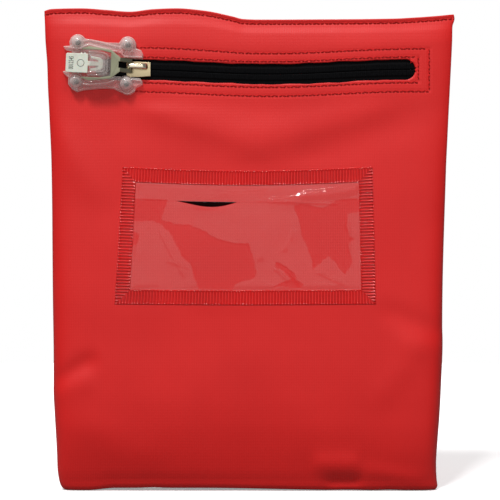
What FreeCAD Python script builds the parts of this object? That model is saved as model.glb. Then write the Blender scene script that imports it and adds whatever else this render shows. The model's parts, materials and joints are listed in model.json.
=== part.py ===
"""Cash deposit bag: a coated-cloth wallet, boxed at its base, with a lockable zip and a window.

Frame: +Z up, the front faces -Y, +X to the right of someone facing the front.
The origin is the middle of the base. Every size is in millimetres.
"""

import FreeCAD, Part
import Sketcher
from FreeCAD import Placement, Rotation, Vector

import math
import os

LEAST_CUT = 0.01
CLOTH = [
    # level above the floor, half width, depth to the front, depth to the back
    (0, 120.5, 10.5, 10.5),
    (5, 123.0, 11.6, 12.0),
    (25, 124.3, 12.0, 13.2),
    (90, 127.3, 12.3, 15.2),
    (215, 129.6, 8.6, 9.5),
    (252, 131.6, 5.0, 5.0),
    (302, 133.6, 5.0, 5.0),
    (311, 134.0, 1.6, 1.6),
]
LEVELS = len(CLOTH)
SIZES = {
    # cloth
    "cloth_thickness": 0.9,
    "side_slope": 0.9,
    "side_wall": 1.3,
    "inner_lip": 0.5,
    "seam_tape_width": 7.0,
    "seam_tape_thickness": 0.8,
    "seam_tape_gap": 1.6,
    "top_tape_inset": 11.2,
    # zip, measured from its own centre line
    "zip_height": 273.7,
    "slit_left": -92.0,
    "slit_right": 109.0,
    "slit_half": 6.0,
    "slit_round_near": 1.8,
    "slit_round_far": 4.2,
    "tape_left": -112.0,
    "tape_right": 113.0,
    "tape_half": 15.0,
    "tape_thickness": 0.6,
    "zip_gap": 1.1,
    "coil_width": 2.1,
    "coil_thickness": 1.3,
    "stop_length": 4.0,
    # stitching
    "thread": 0.5,
    "thread_proud": 0.35,
    "stitch_left": -66.0,
    "inner_stitch_right": 110.9,
    "inner_stitch_half": 8.6,
    "outer_stitch_right": 118.0,
    "outer_stitch_half": 14.4,
    "top_stitch_drop": 2.6,
    "top_stitch_inset": 4.2,
    "stitch_gap": 0.05,
    # window
    "window_x": -0.9,
    "window_z": 165.9,
    "window_top_half": 81.8,
    "window_base_half": 84.8,
    "window_half_height": 44.5,
    "window_border": 9.7,
    "weld_gap": 0.05,
    "border_thickness": 0.6,
    "film_thickness": 0.3,
    "film_lift": 0.3,
    "card_slit_left": -60.0,
    "card_slit_right": 30.0,
    "card_slit_up": 24.5,
    "card_slit_width": 0.8,
    # slider
    "slider_left": -79.0,
    "slider_right": -63.2,
    "slider_half": 5.05,
    "slider_tail_half": 4.5,
    "slider_nose_half": 3.6,
    "slider_gap": 0.4,
    "slider_plate": 1.2,
    "slider_back_plate": 1.0,
    "slider_flange": 1.1,
    "slider_flange_wall": 0.8,
    "post_half": 0.7,
    "post_widest": 1.7,
    "post_end_half": 0.42,
    "post_length": 4.0,
    "bridge_left": -79.0,
    "bridge_right": -65.0,
    "bridge_half": 1.4,
    "bridge_bar": 1.6,
    "bridge_clear": 4.4,
    # lock, measured from the pull's pivot: along the lock, across it and out from the cloth
    "pivot_x": -76.0,
    "pivot_out": 3.3,
    "lock_rise": 1.6,
    "lock_tilt": 2.5,
    "pull_out": 8.3,
    "pull_thickness": 1.2,
    "pull_bar": 0.9,
    "pull_neck_half": 4.5,
    "pull_slot_half": 2.1,
    "pull_slot_end": 7.2,
    "pull_web_start": 6.2,
    "pull_web_end": 12.1,
    "pull_neck_root": 10.1,
    "pull_shoulder_half": 9.2,
    "pull_head": 26.0,
    "pull_head_half": 11.0,
    "pull_end": 30.9,
    "pull_end_half": 9.6,
    "pull_window_half": 8.9,
    "pull_window_narrow": 7.4,
    "pull_window_taper": 19.0,
    "housing_shift": 1.6,
    "rail_out": 6.0,
    "floor_thickness": 1.6,
    "floor_start": 14.0,
    "floor_end": 38.5,
    "rail_width": 3.6,
    "rail_start_outer": 9.5,
    "rail_waist": 10.1,
    "rail_waist_outer": 13.3,
    "rail_wide": 11.3,
    "rail_wide_outer": 15.3,
    "rail_wide_at": 29.0,
    "rail_end": 37.0,
    "rail_end_outer": 10.5,
    "ear_end": 8.2,
    "ear_shoulder": 5.2,
    "ear_shoulder_outer": 11.9,
    "mouth_half": 6.9,
    "well_half": 8.1,
    "horn_end": 42.6,
    "horn_outer": 9.5,
    "flange_side": 15.7,
    "flange_run": 4.6,
    "flange_far_run": 4.4,
    "flange_end": 40.3,
    "waist_outer": 13.7,
    "hip_at": 27.0,
    "hip_outer": 16.1,
    "cap_across": 12.7,
    "cap_near": 2.6,
    "cap_far": 35.0,
    "cap_radius": 4.2,
    "cap_bore": 2.8,
    "cap_out": 7.8,
    "cap_roof": 1.5,
    "cap_gap": 0.02,
    "dome_radius": 3.36,
    "flange_radius": 5.3,
    "rivet_radius": 1.9,
    "rivet_bore": 2.0,
    "rivet_head": 2.6,
    "rivet_head_height": 0.9,
    "rivet_tail": 2.8,
    "rivet_tail_height": 0.8,
    "strip_half": 4.0,
    "strip_thickness": 1.0,
    "keeper_near": 14.2,
    "keeper_far": 26.5,
    "keeper_half": 7.6,
    "keeper_nose_half": 6.2,
    "keeper_nose": 16.6,
    "keeper_out": 10.2,
    "keeper_wall": 1.1,
    "keeper_end_wall": 1.6,
    "keeper_roof": 0.8,
    # seal
    "seal_out": 7.0,
    "seal_thickness": 1.9,
    "tab_near": 27.0,
    "tab_far": 41.2,
    "tab_half": 6.2,
    "tab_corner": 1.2,
    "shank_half": 2.2,
    "arrow_gap": 0.4,
    "arrow_root": 22.4,
    "arrow_start": 24.5,
    "arrow_half": 5.0,
    "arrow_shoulder": 21.6,
    "arrow_tip": 17.2,
    "arrow_tip_half": 1.2,
}

doc = FreeCAD.newDocument("cash_deposit_bag")
sizes = doc.addObject("Spreadsheet::Sheet", "sizes")
exported = []


def fill_sheet():
    rows = dict(SIZES)
    for number, (level, width, front, back) in enumerate(CLOTH, start=1):
        rows[f"level_{number}"] = level
        rows[f"width_{number}"] = width
        rows[f"front_{number}"] = front
        rows[f"back_{number}"] = back
    for row, (alias, value) in enumerate(rows.items(), start=1):
        sizes.set(f"A{row}", alias.replace("_", " "))
        sizes.set(f"B{row}", str(value))
        sizes.setAlias(f"B{row}", alias)
    doc.recompute()


def expression(text):
    """An expression on the sheet: every word gets the sheet's name."""
    words = text.replace("(", " ( ").replace(")", " ) ").split()
    return " ".join(f"sizes.{word}" if word[0].isalpha() else word for word in words)


def size(text):
    return float(sizes.evalExpression(expression(text)))


def set_bound(thing, name, text):
    thing.setExpression(name, expression(text))


def keep(thing, label):
    """Marks an object as a sub-part of the bag, and names it."""
    thing.Label = label
    exported.append(thing)
    return thing


def new_body(name):
    return doc.addObject("PartDesign::Body", name)


def origin_plane(body, role):
    return next(p for p in body.Origin.OriginFeatures if p.Role == role)


def new_sketch(body, role, out):
    """A sketch on one of the body's own planes, moved out along that plane's normal."""
    sketch = body.newObject("Sketcher::SketchObject", f"{body.Name}_outline")
    sketch.AttachmentSupport = (origin_plane(body, role), [""])
    sketch.MapMode = "FlatFace"
    set_bound(sketch, "AttachmentOffset.Base.z", out)
    return sketch


def add_polygon(sketch, corners):
    """A closed outline. Each corner is two expressions, across and up in the sketch."""
    points = [Vector(size(across), size(up), 0) for across, up in corners]
    count = len(points)
    first = sketch.GeometryCount
    for number, point in enumerate(points):
        sketch.addGeometry(Part.LineSegment(point, points[(number + 1) % count]), False)
    for number, (across, up) in enumerate(corners):
        line = first + number
        following = first + (number + 1) % count
        sketch.addConstraint(Sketcher.Constraint("Coincident", line, 2, following, 1))
        for kind, text in (("DistanceX", across), ("DistanceY", up)):
            place = sketch.addConstraint(Sketcher.Constraint(kind, -1, 1, line, 1, size(text)))
            set_bound(sketch, f"Constraints[{place}]", text)


def add_circle(sketch, across, up, radius):
    middle = Vector(size(across), size(up), 0)
    circle = sketch.addGeometry(Part.Circle(middle, Vector(0, 0, 1), size(radius)), False)
    for kind, text in (("DistanceX", across), ("DistanceY", up)):
        place = sketch.addConstraint(Sketcher.Constraint(kind, -1, 1, circle, 3, size(text)))
        set_bound(sketch, f"Constraints[{place}]", text)
    place = sketch.addConstraint(Sketcher.Constraint("Radius", circle, size(radius)))
    set_bound(sketch, f"Constraints[{place}]", radius)


def add_pad(body, sketch, length, both_ways=False):
    pad = body.newObject("PartDesign::Pad", f"{body.Name}_pad")
    pad.Profile = sketch
    pad.Midplane = both_ways
    set_bound(pad, "Length", length)
    return pad


def add_pocket(body, sketch, length, both_ways=False):
    """A pocket that has to take something away."""
    doc.recompute()
    before = body.Shape.Volume
    pocket = body.newObject("PartDesign::Pocket", f"{body.Name}_pocket")
    pocket.Profile = sketch
    pocket.Midplane = both_ways
    pocket.Reversed = not both_ways
    set_bound(pocket, "Length", length)
    doc.recompute()
    if body.Shape.Volume > before - LEAST_CUT:
        raise ValueError(f"{pocket.Name} cuts nothing")
    return pocket


def plate(name, out, thickness, corners):
    """A flat plate parallel to the front, from a height out along -Y."""
    body = new_body(name)
    sketch = new_sketch(body, "XZ_Plane", out)
    add_polygon(sketch, corners)
    add_pad(body, sketch, thickness)
    return body


def rectangle(left, right, low, high):
    return [(left, low), (right, low), (right, high), (left, high)]


def on_lock(thing):
    """Places a sub-part drawn from the pull's pivot on the tilted axis of the lock."""
    thing.Placement = Placement(Vector(0, 0, 0), Rotation(Vector(0, 1, 0), size("lock_tilt")))
    set_bound(thing, "Placement.Base.x", "pivot_x")
    set_bound(thing, "Placement.Base.z", "zip_height + lock_rise")
    set_bound(thing, "Placement.Rotation.Angle", "lock_tilt")
    return thing


def fuse(name, shapes):
    joined = doc.addObject("Part::MultiFuse", name)
    joined.Shapes = shapes
    joined.Refine = True
    return joined


def cut(name, base, tool):
    result = doc.addObject("Part::Cut", name)
    result.Base = base
    result.Tool = tool
    return result


def group(name, shapes):
    """Separate solids of one kind in one sub-part."""
    compound = doc.addObject("Part::Compound", name)
    compound.Links = shapes
    return compound


def cylinder(name, across, up, out, radius, height):
    """A round bar that stands out from the front, drawn from the pull's pivot."""
    rod = doc.addObject("Part::Cylinder", name)
    set_bound(rod, "Radius", radius)
    set_bound(rod, "Height", height)
    rod.Placement = Placement(Vector(0, 0, 0), Rotation(Vector(1, 0, 0), 90))
    set_bound(rod, "Placement.Base.x", across)
    set_bound(rod, "Placement.Base.y", f"0 - ( {out} )")
    set_bound(rod, "Placement.Base.z", up)
    return rod


def cap_centres():
    """The four rivet places, from the pull's pivot."""
    return [
        (f"0 - {along}", f"housing_shift {side} cap_across")
        for along in ("cap_near", "cap_far")
        for side in ("+", "-")
    ]


def section(body, number, side, sign, inner):
    """One level section of half the bag: a flat trapezium from the seam plane outwards."""
    depth = f"{side}_{number}"
    level = f"level_{number}"
    wide = f"width_{number}"
    narrow = f"{wide} - side_slope * {depth}"
    base = "0"
    if inner:
        depth = f"( {depth} - cloth_thickness )"
        wide = f"( {wide} - side_wall )"
        narrow = f"{wide} - side_slope * {depth}"
        base = f"0 {'-' if sign == '+' else '+'} inner_lip"
        if number == 1:
            level = "level_1 + cloth_thickness"
        if number == LEVELS:
            level = f"{level} - side_wall"
    sketch = new_sketch(body, "XY_Plane", level)
    face = f"0 {sign} {depth}"
    corners = [(f"0 - {wide}", base), (wide, base), (narrow, face), (f"0 - ( {narrow} )", face)]
    add_polygon(sketch, corners)
    return sketch


def add_loft(body, kind, sketches):
    loft = body.newObject(f"PartDesign::{kind}", f"{body.Name}_{kind}")
    loft.Profile = sketches[0]
    loft.Sections = sketches[1:]
    loft.Ruled = True
    return loft


def cloth_half(name, side, sign):
    """Half of the bag's cloth: its face, its share of the sides, the base and the top edge."""
    body = new_body(name)
    numbers = range(1, LEVELS + 1)
    add_loft(body, "AdditiveLoft", [section(body, n, side, sign, False) for n in numbers])
    doc.recompute()
    add_loft(body, "SubtractiveLoft", [section(body, n, side, sign, True) for n in numbers])
    doc.recompute()
    return body


def rivet_bores():
    """The holes for the four rivets, through the cloth, the tape and the backing strips."""
    rods = [
        cylinder(f"bore_{n}", across, up, "0", "rivet_bore", "front_7 + floor_thickness")
        for n, (across, up) in enumerate(cap_centres(), start=1)
    ]
    return on_lock(fuse("rivet_bores", rods))


def front_panel(bores):
    body = cloth_half("front_cloth", "front", "-")
    sketch = new_sketch(body, "XZ_Plane", "0")
    add_polygon(
        sketch,
        [
            ("slit_left", "zip_height - slit_half"),
            ("slit_right - slit_half", "zip_height - slit_half"),
            ("slit_right - slit_round_near", "zip_height - slit_round_far"),
            ("slit_right", "zip_height"),
            ("slit_right - slit_round_near", "zip_height + slit_round_far"),
            ("slit_right - slit_half", "zip_height + slit_half"),
            ("slit_left", "zip_height + slit_half"),
        ],
    )
    add_pocket(body, sketch, "front_7 + cloth_thickness")
    return keep(cut("front_cut", body, bores), "front_panel")


def back_panel():
    return keep(cloth_half("back_cloth", "back", "+"), "back_panel")


def side_seam_tape(name, side):
    """The turned-in edge of a side seam, a narrow strip in the seam plane."""
    body = new_body(name)
    sketch = new_sketch(body, "XZ_Plane", "0")
    outer = []
    inner = []
    for number in range(3, LEVELS):
        edge = f"width_{number} - side_wall - seam_tape_gap"
        outer.append((f"0 {side} ( {edge} )", f"level_{number}"))
        inner.append((f"0 {side} ( {edge} - seam_tape_width )", f"level_{number}"))
    add_polygon(sketch, outer + inner[::-1])
    add_pad(body, sketch, "seam_tape_thickness", both_ways=True)
    return keep(body, name)


def strip_in_seam(name, half, low, high):
    """A straight strip in the seam plane, across the bag."""
    body = new_body(name)
    sketch = new_sketch(body, "XZ_Plane", "0")
    add_polygon(sketch, rectangle(f"0 - ( {half} )", half, low, high))
    add_pad(body, sketch, "seam_tape_thickness", both_ways=True)
    return keep(body, name)


def seam_tapes():
    side_seam_tape("side_seam_tape_left", "-")
    side_seam_tape("side_seam_tape_right", "+")
    low = "cloth_thickness + seam_tape_thickness"
    strip_in_seam("bottom_seam_tape", "width_1 - seam_tape_width", low, f"{low} + seam_tape_width")
    high = "level_8 - side_wall - seam_tape_thickness"
    strip_in_seam("top_seam_tape", "width_7 - top_tape_inset", f"{high} - seam_tape_width", high)


def zip_half(side, bores):
    """One side of the zip: its tape behind the slit, its coil behind the tape and a stop."""
    word = "upper" if side == "+" else "lower"
    edge = f"zip_height {side} zip_gap"
    back = "front_7 - cloth_thickness - tape_thickness"
    right = "slit_right - stop_length"
    tape = plate(
        f"tape_{word}",
        back,
        "tape_thickness",
        rectangle("tape_left", "tape_right", edge, f"zip_height {side} tape_half"),
    )
    keep(cut(f"tape_cut_{word}", tape, bores), f"zip_tape_{word}")
    coil = plate(
        f"coil_{word}",
        f"{back} - coil_thickness",
        "coil_thickness",
        rectangle("slider_left - stop_length", right, edge, f"{edge} {side} coil_width"),
    )
    keep(coil, f"zip_coil_{word}")


def zip_stops():
    """A wide stop over both coils at the right end, and one on each coil at the left end."""
    back = "front_7 - cloth_thickness - tape_thickness - coil_thickness"
    edge = "zip_gap + coil_width"
    low = f"zip_height - ( {edge} )"
    high = f"zip_height + {edge}"
    end = plate(
        "end_stop",
        back,
        "coil_thickness",
        rectangle("slit_right - stop_length", "slit_right", low, high),
    )
    keep(end, "zip_end_stop")
    left = "slider_left - stop_length * 2"
    right = "slider_left - stop_length"
    stops = [
        plate(f"start_stop_{n}", back, "coil_thickness", rectangle(left, right, *span))
        for n, span in enumerate([("zip_height + zip_gap", high), (low, "zip_height - zip_gap")])
    ]
    keep(group("start_stops", stops), "zip_start_stops")


def stitch_run(label, right, half):
    """A line of thread round the zip, open at the left, where the lock covers it."""
    outer = [
        ("stitch_left", f"zip_height - {half}"),
        (right, f"zip_height - {half}"),
        (right, f"zip_height + {half}"),
        ("stitch_left", f"zip_height + {half}"),
        ("stitch_left", f"zip_height + {half} - thread"),
        (f"{right} - thread", f"zip_height + {half} - thread"),
        (f"{right} - thread", f"zip_height - {half} + thread"),
        ("stitch_left", f"zip_height - {half} + thread"),
    ]
    keep(plate(f"{label}_body", "front_7", "thread_proud", outer), label)


def top_stitch():
    """A line of thread along the top edge, laid on the sloping strip under the edge."""
    slope = "( front_7 - front_8 ) / ( level_8 - level_7 )"
    lean = math.degrees(math.atan(size(slope)))
    out = f"front_8 + {slope} * top_stitch_drop"
    bars = []
    for name, turn, side in (("front", 1, "-"), ("back", -1, "+")):
        bar = doc.addObject("Part::Box", f"top_stitch_{name}")
        set_bound(bar, "Length", "( width_7 - top_stitch_inset ) * 2")
        set_bound(bar, "Width", "thread_proud")
        set_bound(bar, "Height", "thread")
        bar.Placement = Placement(Vector(0, 0, 0), Rotation(Vector(1, 0, 0), -turn * lean))
        set_bound(bar, "Placement.Base.x", "top_stitch_inset - width_7")
        lift = "stitch_gap + thread_proud" if side == "-" else "stitch_gap"
        set_bound(bar, "Placement.Base.y", f"0 {side} ( {out} + {lift} )")
        set_bound(bar, "Placement.Base.z", "level_8 - top_stitch_drop")
        bars.append(bar)
    keep(group("top_stitches", bars), "top_edge_stitch")


def on_window(thing):
    """Places a sub-part drawn from the window's middle on the sloping face of the cloth."""
    lean = "( front_4 - front_5 ) / ( level_5 - level_4 )"
    lean_angle = math.degrees(math.atan(size(lean)))
    thing.Placement = Placement(Vector(0, 0, 0), Rotation(Vector(1, 0, 0), -lean_angle))
    set_bound(thing, "Placement.Base.x", "window_x")
    set_bound(thing, "Placement.Base.y", f"0 - ( front_4 - ( window_z - level_4 ) * {lean} )")
    set_bound(thing, "Placement.Base.z", "window_z")
    return thing


def window_corners(inset):
    """The window's outline, wider at the base, at an inset from its outer edge."""
    low = f"( window_base_half - {inset} )"
    high = f"( window_top_half - {inset} )"
    tall = f"( window_half_height - {inset} )"
    return [(f"0 - {low}", f"0 - {tall}"), (low, f"0 - {tall}"), (high, tall), (f"0 - {high}", tall)]


def window():
    border = plate("border_plate", "weld_gap", "border_thickness", window_corners("0"))
    opening = new_sketch(border, "XZ_Plane", "0")
    add_polygon(opening, window_corners("window_border"))
    add_pocket(border, opening, "border_thickness + film_thickness")
    keep(on_window(border), "window_weld_border")
    film = plate("film_plate", "film_lift", "film_thickness", window_corners("window_border"))
    slit = new_sketch(film, "XZ_Plane", "0")
    add_polygon(
        slit,
        rectangle("card_slit_left", "card_slit_right", "card_slit_up", "card_slit_up + card_slit_width"),
    )
    add_pocket(film, slit, "film_lift + film_thickness * 2")
    keep(on_window(film), "window_film")


def slider_body():
    """The slider's cast body: a plate in the slit, a plate behind the coils and the wedge between."""
    back = "front_7 - cloth_thickness - tape_thickness - coil_thickness - slider_gap"
    body = new_body("slider_casting")
    low = "zip_height - slider_half"
    high = "zip_height + slider_half"
    tail_low = "zip_height - slider_tail_half"
    tail_high = "zip_height + slider_tail_half"
    outline = [
        ("slider_left + post_half", low),
        ("slider_left + post_length * 2", low),
        ("slider_right", tail_low),
        ("slider_right", tail_high),
        ("slider_left + post_length * 2", high),
        ("slider_left + post_half", high),
        ("slider_left", "zip_height + slider_nose_half"),
        ("slider_left", "zip_height - slider_nose_half"),
    ]
    behind = new_sketch(body, "XZ_Plane", f"{back} - slider_back_plate")
    add_polygon(behind, outline)
    add_pad(body, behind, "slider_back_plate")
    wedge = new_sketch(body, "XZ_Plane", back)
    add_polygon(
        wedge,
        [
            ("slider_left + post_half", "zip_height"),
            ("slider_left + post_widest", "zip_height - post_half"),
            ("slider_left + post_length", "zip_height - post_end_half"),
            ("slider_left + post_length", "zip_height + post_end_half"),
            ("slider_left + post_widest", "zip_height + post_half"),
        ],
    )
    add_pad(body, wedge, "coil_thickness + tape_thickness + slider_gap * 2")
    face = new_sketch(body, "XZ_Plane", "front_7 - cloth_thickness + slider_gap")
    add_polygon(face, outline)
    add_pad(body, face, "slider_plate")
    for side in ("+", "-"):
        flange = new_sketch(body, "XZ_Plane", f"{back} - slider_back_plate")
        outer = f"zip_height {side} slider_tail_half"
        inner = f"zip_height {side} ( slider_tail_half - slider_flange_wall )"
        add_polygon(flange, rectangle("slider_left + post_length", "slider_right", inner, outer))
        add_pad(body, flange, "slider_back_plate + slider_flange")
    return keep(body, "slider_body")


def slider_bridge():
    """The arch that the pull hangs on, a flat bar bent over the slider's plate."""
    body = new_body("bridge_bar")
    sketch = new_sketch(body, "XY_Plane", "zip_height + lock_rise")
    foot = "0 - ( front_7 - cloth_thickness + slider_gap + slider_plate )"
    under = "0 - ( front_7 + bridge_clear )"
    top = "0 - ( front_7 + bridge_clear + bridge_bar )"
    add_polygon(
        sketch,
        [
            ("bridge_left", foot),
            ("bridge_left", under),
            ("bridge_left + bridge_bar", top),
            ("bridge_right - bridge_bar", top),
            ("bridge_right", under),
            ("bridge_right", foot),
            ("bridge_right - bridge_bar", foot),
            ("bridge_right - bridge_bar", under),
            ("bridge_left + bridge_bar", under),
            ("bridge_left + bridge_bar", foot),
        ],
    )
    add_pad(body, sketch, "bridge_half * 2", both_ways=True)
    return keep(body, "slider_bridge")


def puller():
    """The pull: a pivot bar, two joggled neck arms, a web and two prongs round the keeper."""
    body = new_body("pull_plate")
    sketch = new_sketch(body, "XZ_Plane", "front_7 + pull_out")
    half = [
        ("0 - pull_web_start", "pull_neck_half"),
        ("0 - pull_web_end", "pull_shoulder_half"),
        ("0 - pull_head", "pull_head_half"),
        ("0 - pull_end", "pull_end_half"),
        ("0 - pull_end", "pull_window_half"),
        ("0 - pull_window_taper", "pull_window_half"),
        ("0 - pull_web_end", "pull_window_narrow"),
    ]
    mirrored = [(along, f"0 - {across}") for along, across in half]
    add_polygon(sketch, half + mirrored[::-1])
    add_pad(body, sketch, "pull_thickness")
    neck = new_sketch(body, "XY_Plane", "0")
    low = "0 - ( front_7 + pull_out )"
    high = "0 - ( front_7 + pull_out + pull_thickness )"
    axis = "0 - ( front_7 + pivot_out )"
    add_polygon(
        neck,
        [
            ("0 - pull_neck_root", low),
            ("0 - pull_slot_end", low),
            ("0 - pull_bar", f"{axis} + pull_bar"),
            ("pull_bar", f"{axis} + pull_bar"),
            ("pull_bar", f"{axis} - pull_bar"),
            ("0 - pull_web_start", high),
            ("0 - pull_neck_root", high),
        ],
    )
    add_pad(body, neck, "pull_neck_half * 2", both_ways=True)
    slot = new_sketch(body, "XZ_Plane", "front_7")
    add_polygon(
        slot,
        rectangle("0 - pull_slot_end", "pull_bar * 2", "0 - pull_slot_half", "pull_slot_half"),
    )
    add_pocket(body, slot, "pull_out + pull_thickness * 2")
    bar = new_sketch(body, "XY_Plane", "0")
    add_circle(bar, "0", axis, "pull_bar")
    add_pad(body, bar, "pull_neck_half * 2", both_ways=True)
    return keep(on_lock(body), "puller")


def housing_outline():
    """Half of the lock housing's waisted outline, from the edge of its mouth outwards."""
    return [
        ("ear_end", "{mouth}"),
        ("ear_end", "{mouth} + rail_width"),
        ("ear_shoulder", "ear_shoulder_outer"),
        ("flange_run - cap_near", "flange_side"),
        ("0 - cap_near", "cap_across + flange_radius"),
        ("0 - cap_near - flange_run", "flange_side"),
        ("0 - floor_start", "waist_outer"),
        ("0 - hip_at", "hip_outer"),
        ("0 - cap_far", "cap_across + flange_radius"),
        ("0 - cap_far - flange_far_run", "flange_side"),
        ("0 - flange_end", "cap_across"),
        ("0 - flange_end", "{mouth} + rail_width"),
        ("0 - horn_end", "horn_outer"),
        ("0 - horn_end", "well_half"),
        ("0 - floor_end", "well_half"),
    ]


def rail_outline():
    """Half of the outline of the raised rail beside the pull."""
    return [
        ("ear_end", "{mouth}"),
        ("ear_end", "{mouth} + rail_width"),
        ("0 - cap_near", "rail_start_outer"),
        ("0 - floor_start", "rail_waist_outer"),
        ("0 - rail_wide_at", "rail_wide_outer"),
        ("0 - cap_far", "rail_end_outer"),
        ("0 - horn_end", "horn_outer"),
        ("0 - horn_end", "well_half"),
        ("0 - rail_end", "well_half"),
        ("0 - pull_head", "rail_wide"),
        ("0 - floor_start", "rail_waist"),
        ("0 - cap_near", "{mouth}"),
    ]


def shifted(points, side):
    """The outline on one side of the housing's own middle. Its mouth stays even about the pull."""
    opposite = "-" if side == "+" else "+"
    mouth = f"mouth_half {opposite} housing_shift"
    return [(along, f"housing_shift {side} ( {across.format(mouth=mouth)} )") for along, across in points]


def lock_housing(bores):
    """The clear housing: a floor under the pull, a rail each side of it and four rivet flanges."""
    body = new_body("housing_tray")
    half = [("0 - floor_start", "{mouth}")] + housing_outline()
    sketch = new_sketch(body, "XZ_Plane", "front_7")
    add_polygon(sketch, shifted(half, "+") + shifted(half, "-")[::-1])
    add_pad(body, sketch, "floor_thickness")
    for side in ("+", "-"):
        rail = new_sketch(body, "XZ_Plane", "front_7")
        add_polygon(rail, shifted(rail_outline(), side))
        add_pad(body, rail, "rail_out")
    sockets = [
        cylinder(f"socket_{n}", across, up, "front_7 + floor_thickness", "cap_radius + cap_gap", "rail_out")
        for n, (across, up) in enumerate(cap_centres(), start=1)
    ]
    on_lock(body)
    tray = cut("tray_sockets", body, on_lock(fuse("cap_sockets", sockets)))
    return keep(cut("tray_bores", tray, bores), "lock_housing")


def rivet_caps():
    """Four round caps, domed and hollow, one over each rivet."""
    caps = []
    for number, (across, up) in enumerate(cap_centres(), start=1):
        foot = "front_7 + floor_thickness"
        tall = "cap_out - floor_thickness"
        wall = cylinder(f"cap_wall_{number}", across, up, foot, "cap_radius", tall)
        dome = doc.addObject("Part::Fillet", f"cap_dome_{number}")
        dome.Base = wall
        doc.recompute()
        rims = {n: e for n, e in enumerate(wall.Shape.Edges, start=1) if e.Closed}
        outermost = min(rims, key=lambda n: rims[n].CenterOfMass.y)
        dome.Edges = [(outermost, size("dome_radius"), size("dome_radius"))]
        hollow = cylinder(f"cap_hollow_{number}", across, up, foot, "cap_bore", f"{tall} - cap_roof")
        caps.append(cut(f"cap_{number}", dome, hollow))
    return keep(on_lock(group("caps", caps)), "rivet_caps")


def rivets():
    """Four rivets: a head in the cap, a shank through the cloth and a clinched tail inside."""
    pieces = []
    outside = "front_7 + floor_thickness"
    inside = "front_7 - cloth_thickness - tape_thickness - strip_thickness"
    half_tail = "rivet_tail_height / 2"
    reach = f"{outside} - ( {inside} ) + {half_tail}"
    for number, place in enumerate(cap_centres(), start=1):
        head = cylinder(f"head_{number}", *place, outside, "rivet_head", "rivet_head_height")
        shank = cylinder(f"shank_{number}", *place, f"{inside} - {half_tail}", "rivet_radius", reach)
        tail_out = f"{inside} - rivet_tail_height"
        tail = cylinder(f"tail_{number}", *place, tail_out, "rivet_tail", "rivet_tail_height")
        pieces.append(fuse(f"rivet_{number}", [head, shank, tail]))
    return keep(on_lock(group("rivet_set", pieces)), "rivets")


def backing_strips(bores):
    """Two steel strips inside the bag, each behind one pair of rivets."""
    inside = "front_7 - cloth_thickness - tape_thickness - strip_thickness"
    for word, side in (("upper", "+"), ("lower", "-")):
        middle = f"housing_shift {side} cap_across"
        strip = plate(
            f"strip_{word}",
            inside,
            "strip_thickness",
            rectangle(
                "0 - cap_far - strip_half",
                "0 - cap_near + strip_half",
                f"{middle} - strip_half",
                f"{middle} + strip_half",
            ),
        )
        on_lock(strip)
        keep(cut(f"strip_cut_{word}", strip, bores), f"backing_strip_{word}")


def seal_keeper():
    """The clear box between the prongs, with a tunnel for the seal's arrow."""
    body = new_body("keeper_box")
    outline = [
        ("0 - keeper_far", "0 - keeper_half"),
        ("0 - keeper_nose", "0 - keeper_half"),
        ("0 - keeper_near", "0 - keeper_nose_half"),
        ("0 - keeper_near", "keeper_nose_half"),
        ("0 - keeper_nose", "keeper_half"),
        ("0 - keeper_far", "keeper_half"),
    ]
    sketch = new_sketch(body, "XZ_Plane", "front_7 + floor_thickness")
    add_polygon(sketch, outline)
    add_pad(body, sketch, "keeper_out - floor_thickness")
    doc.recompute()
    tunnel = new_sketch(body, "XZ_Plane", "front_7 + seal_out - arrow_gap")
    add_polygon(
        tunnel,
        rectangle(
            "0 - keeper_far - keeper_wall",
            "0 - keeper_near - keeper_end_wall",
            "0 - keeper_half + keeper_wall",
            "keeper_half - keeper_wall",
        ),
    )
    add_pocket(body, tunnel, "keeper_out - seal_out + arrow_gap - keeper_roof")
    return keep(on_lock(body), "seal_keeper")


def seal():
    """The one-use seal: a tab to grip, a shank and an arrow whose barbs spring open."""
    half = [
        ("0 - arrow_tip", "arrow_tip_half"),
        ("0 - arrow_shoulder", "arrow_half"),
        ("0 - arrow_start", "arrow_half"),
        ("0 - arrow_root", "shank_half"),
        ("0 - tab_near", "shank_half"),
        ("0 - tab_near", "tab_half"),
        ("0 - tab_far + tab_corner", "tab_half"),
        ("0 - tab_far", "tab_half - tab_corner"),
    ]
    mirrored = [(along, f"0 - ( {across} )") for along, across in half]
    body = plate("seal_moulding", "front_7 + seal_out", "seal_thickness", half + mirrored[::-1])
    return keep(on_lock(body), "seal")


def check_and_export():
    doc.recompute()
    broken = [o.Name for o in doc.Objects if {"Invalid", "Error"} & set(o.State)]
    if broken:
        raise ValueError(f"failed objects: {broken}")
    os.makedirs("parts", exist_ok=True)
    for thing in exported:
        shape = thing.Shape
        if shape.isNull() or not shape.isValid() or not shape.Solids:
            raise ValueError(f"{thing.Label} has no valid solid")
        shape.exportStep(f"parts/{thing.Label}.step")
        print(thing.Label, len(shape.Solids), round(shape.Volume, 1))


fill_sheet()
bores = rivet_bores()
front_panel(bores)
back_panel()
seam_tapes()
zip_half("+", bores)
zip_half("-", bores)
zip_stops()
stitch_run("zip_stitch_inner", "inner_stitch_right", "inner_stitch_half")
stitch_run("zip_stitch_outer", "outer_stitch_right", "outer_stitch_half")
top_stitch()
window()
slider_body()
slider_bridge()
puller()
lock_housing(bores)
rivet_caps()
rivets()
backing_strips(bores)
seal_keeper()
seal()
check_and_export()
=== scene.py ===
"""Looks of the cash deposit bag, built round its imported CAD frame. Lengths are in metres."""

import json
import math

import bmesh
import bpy
import numpy as np
from mathutils import Matrix, Vector


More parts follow.
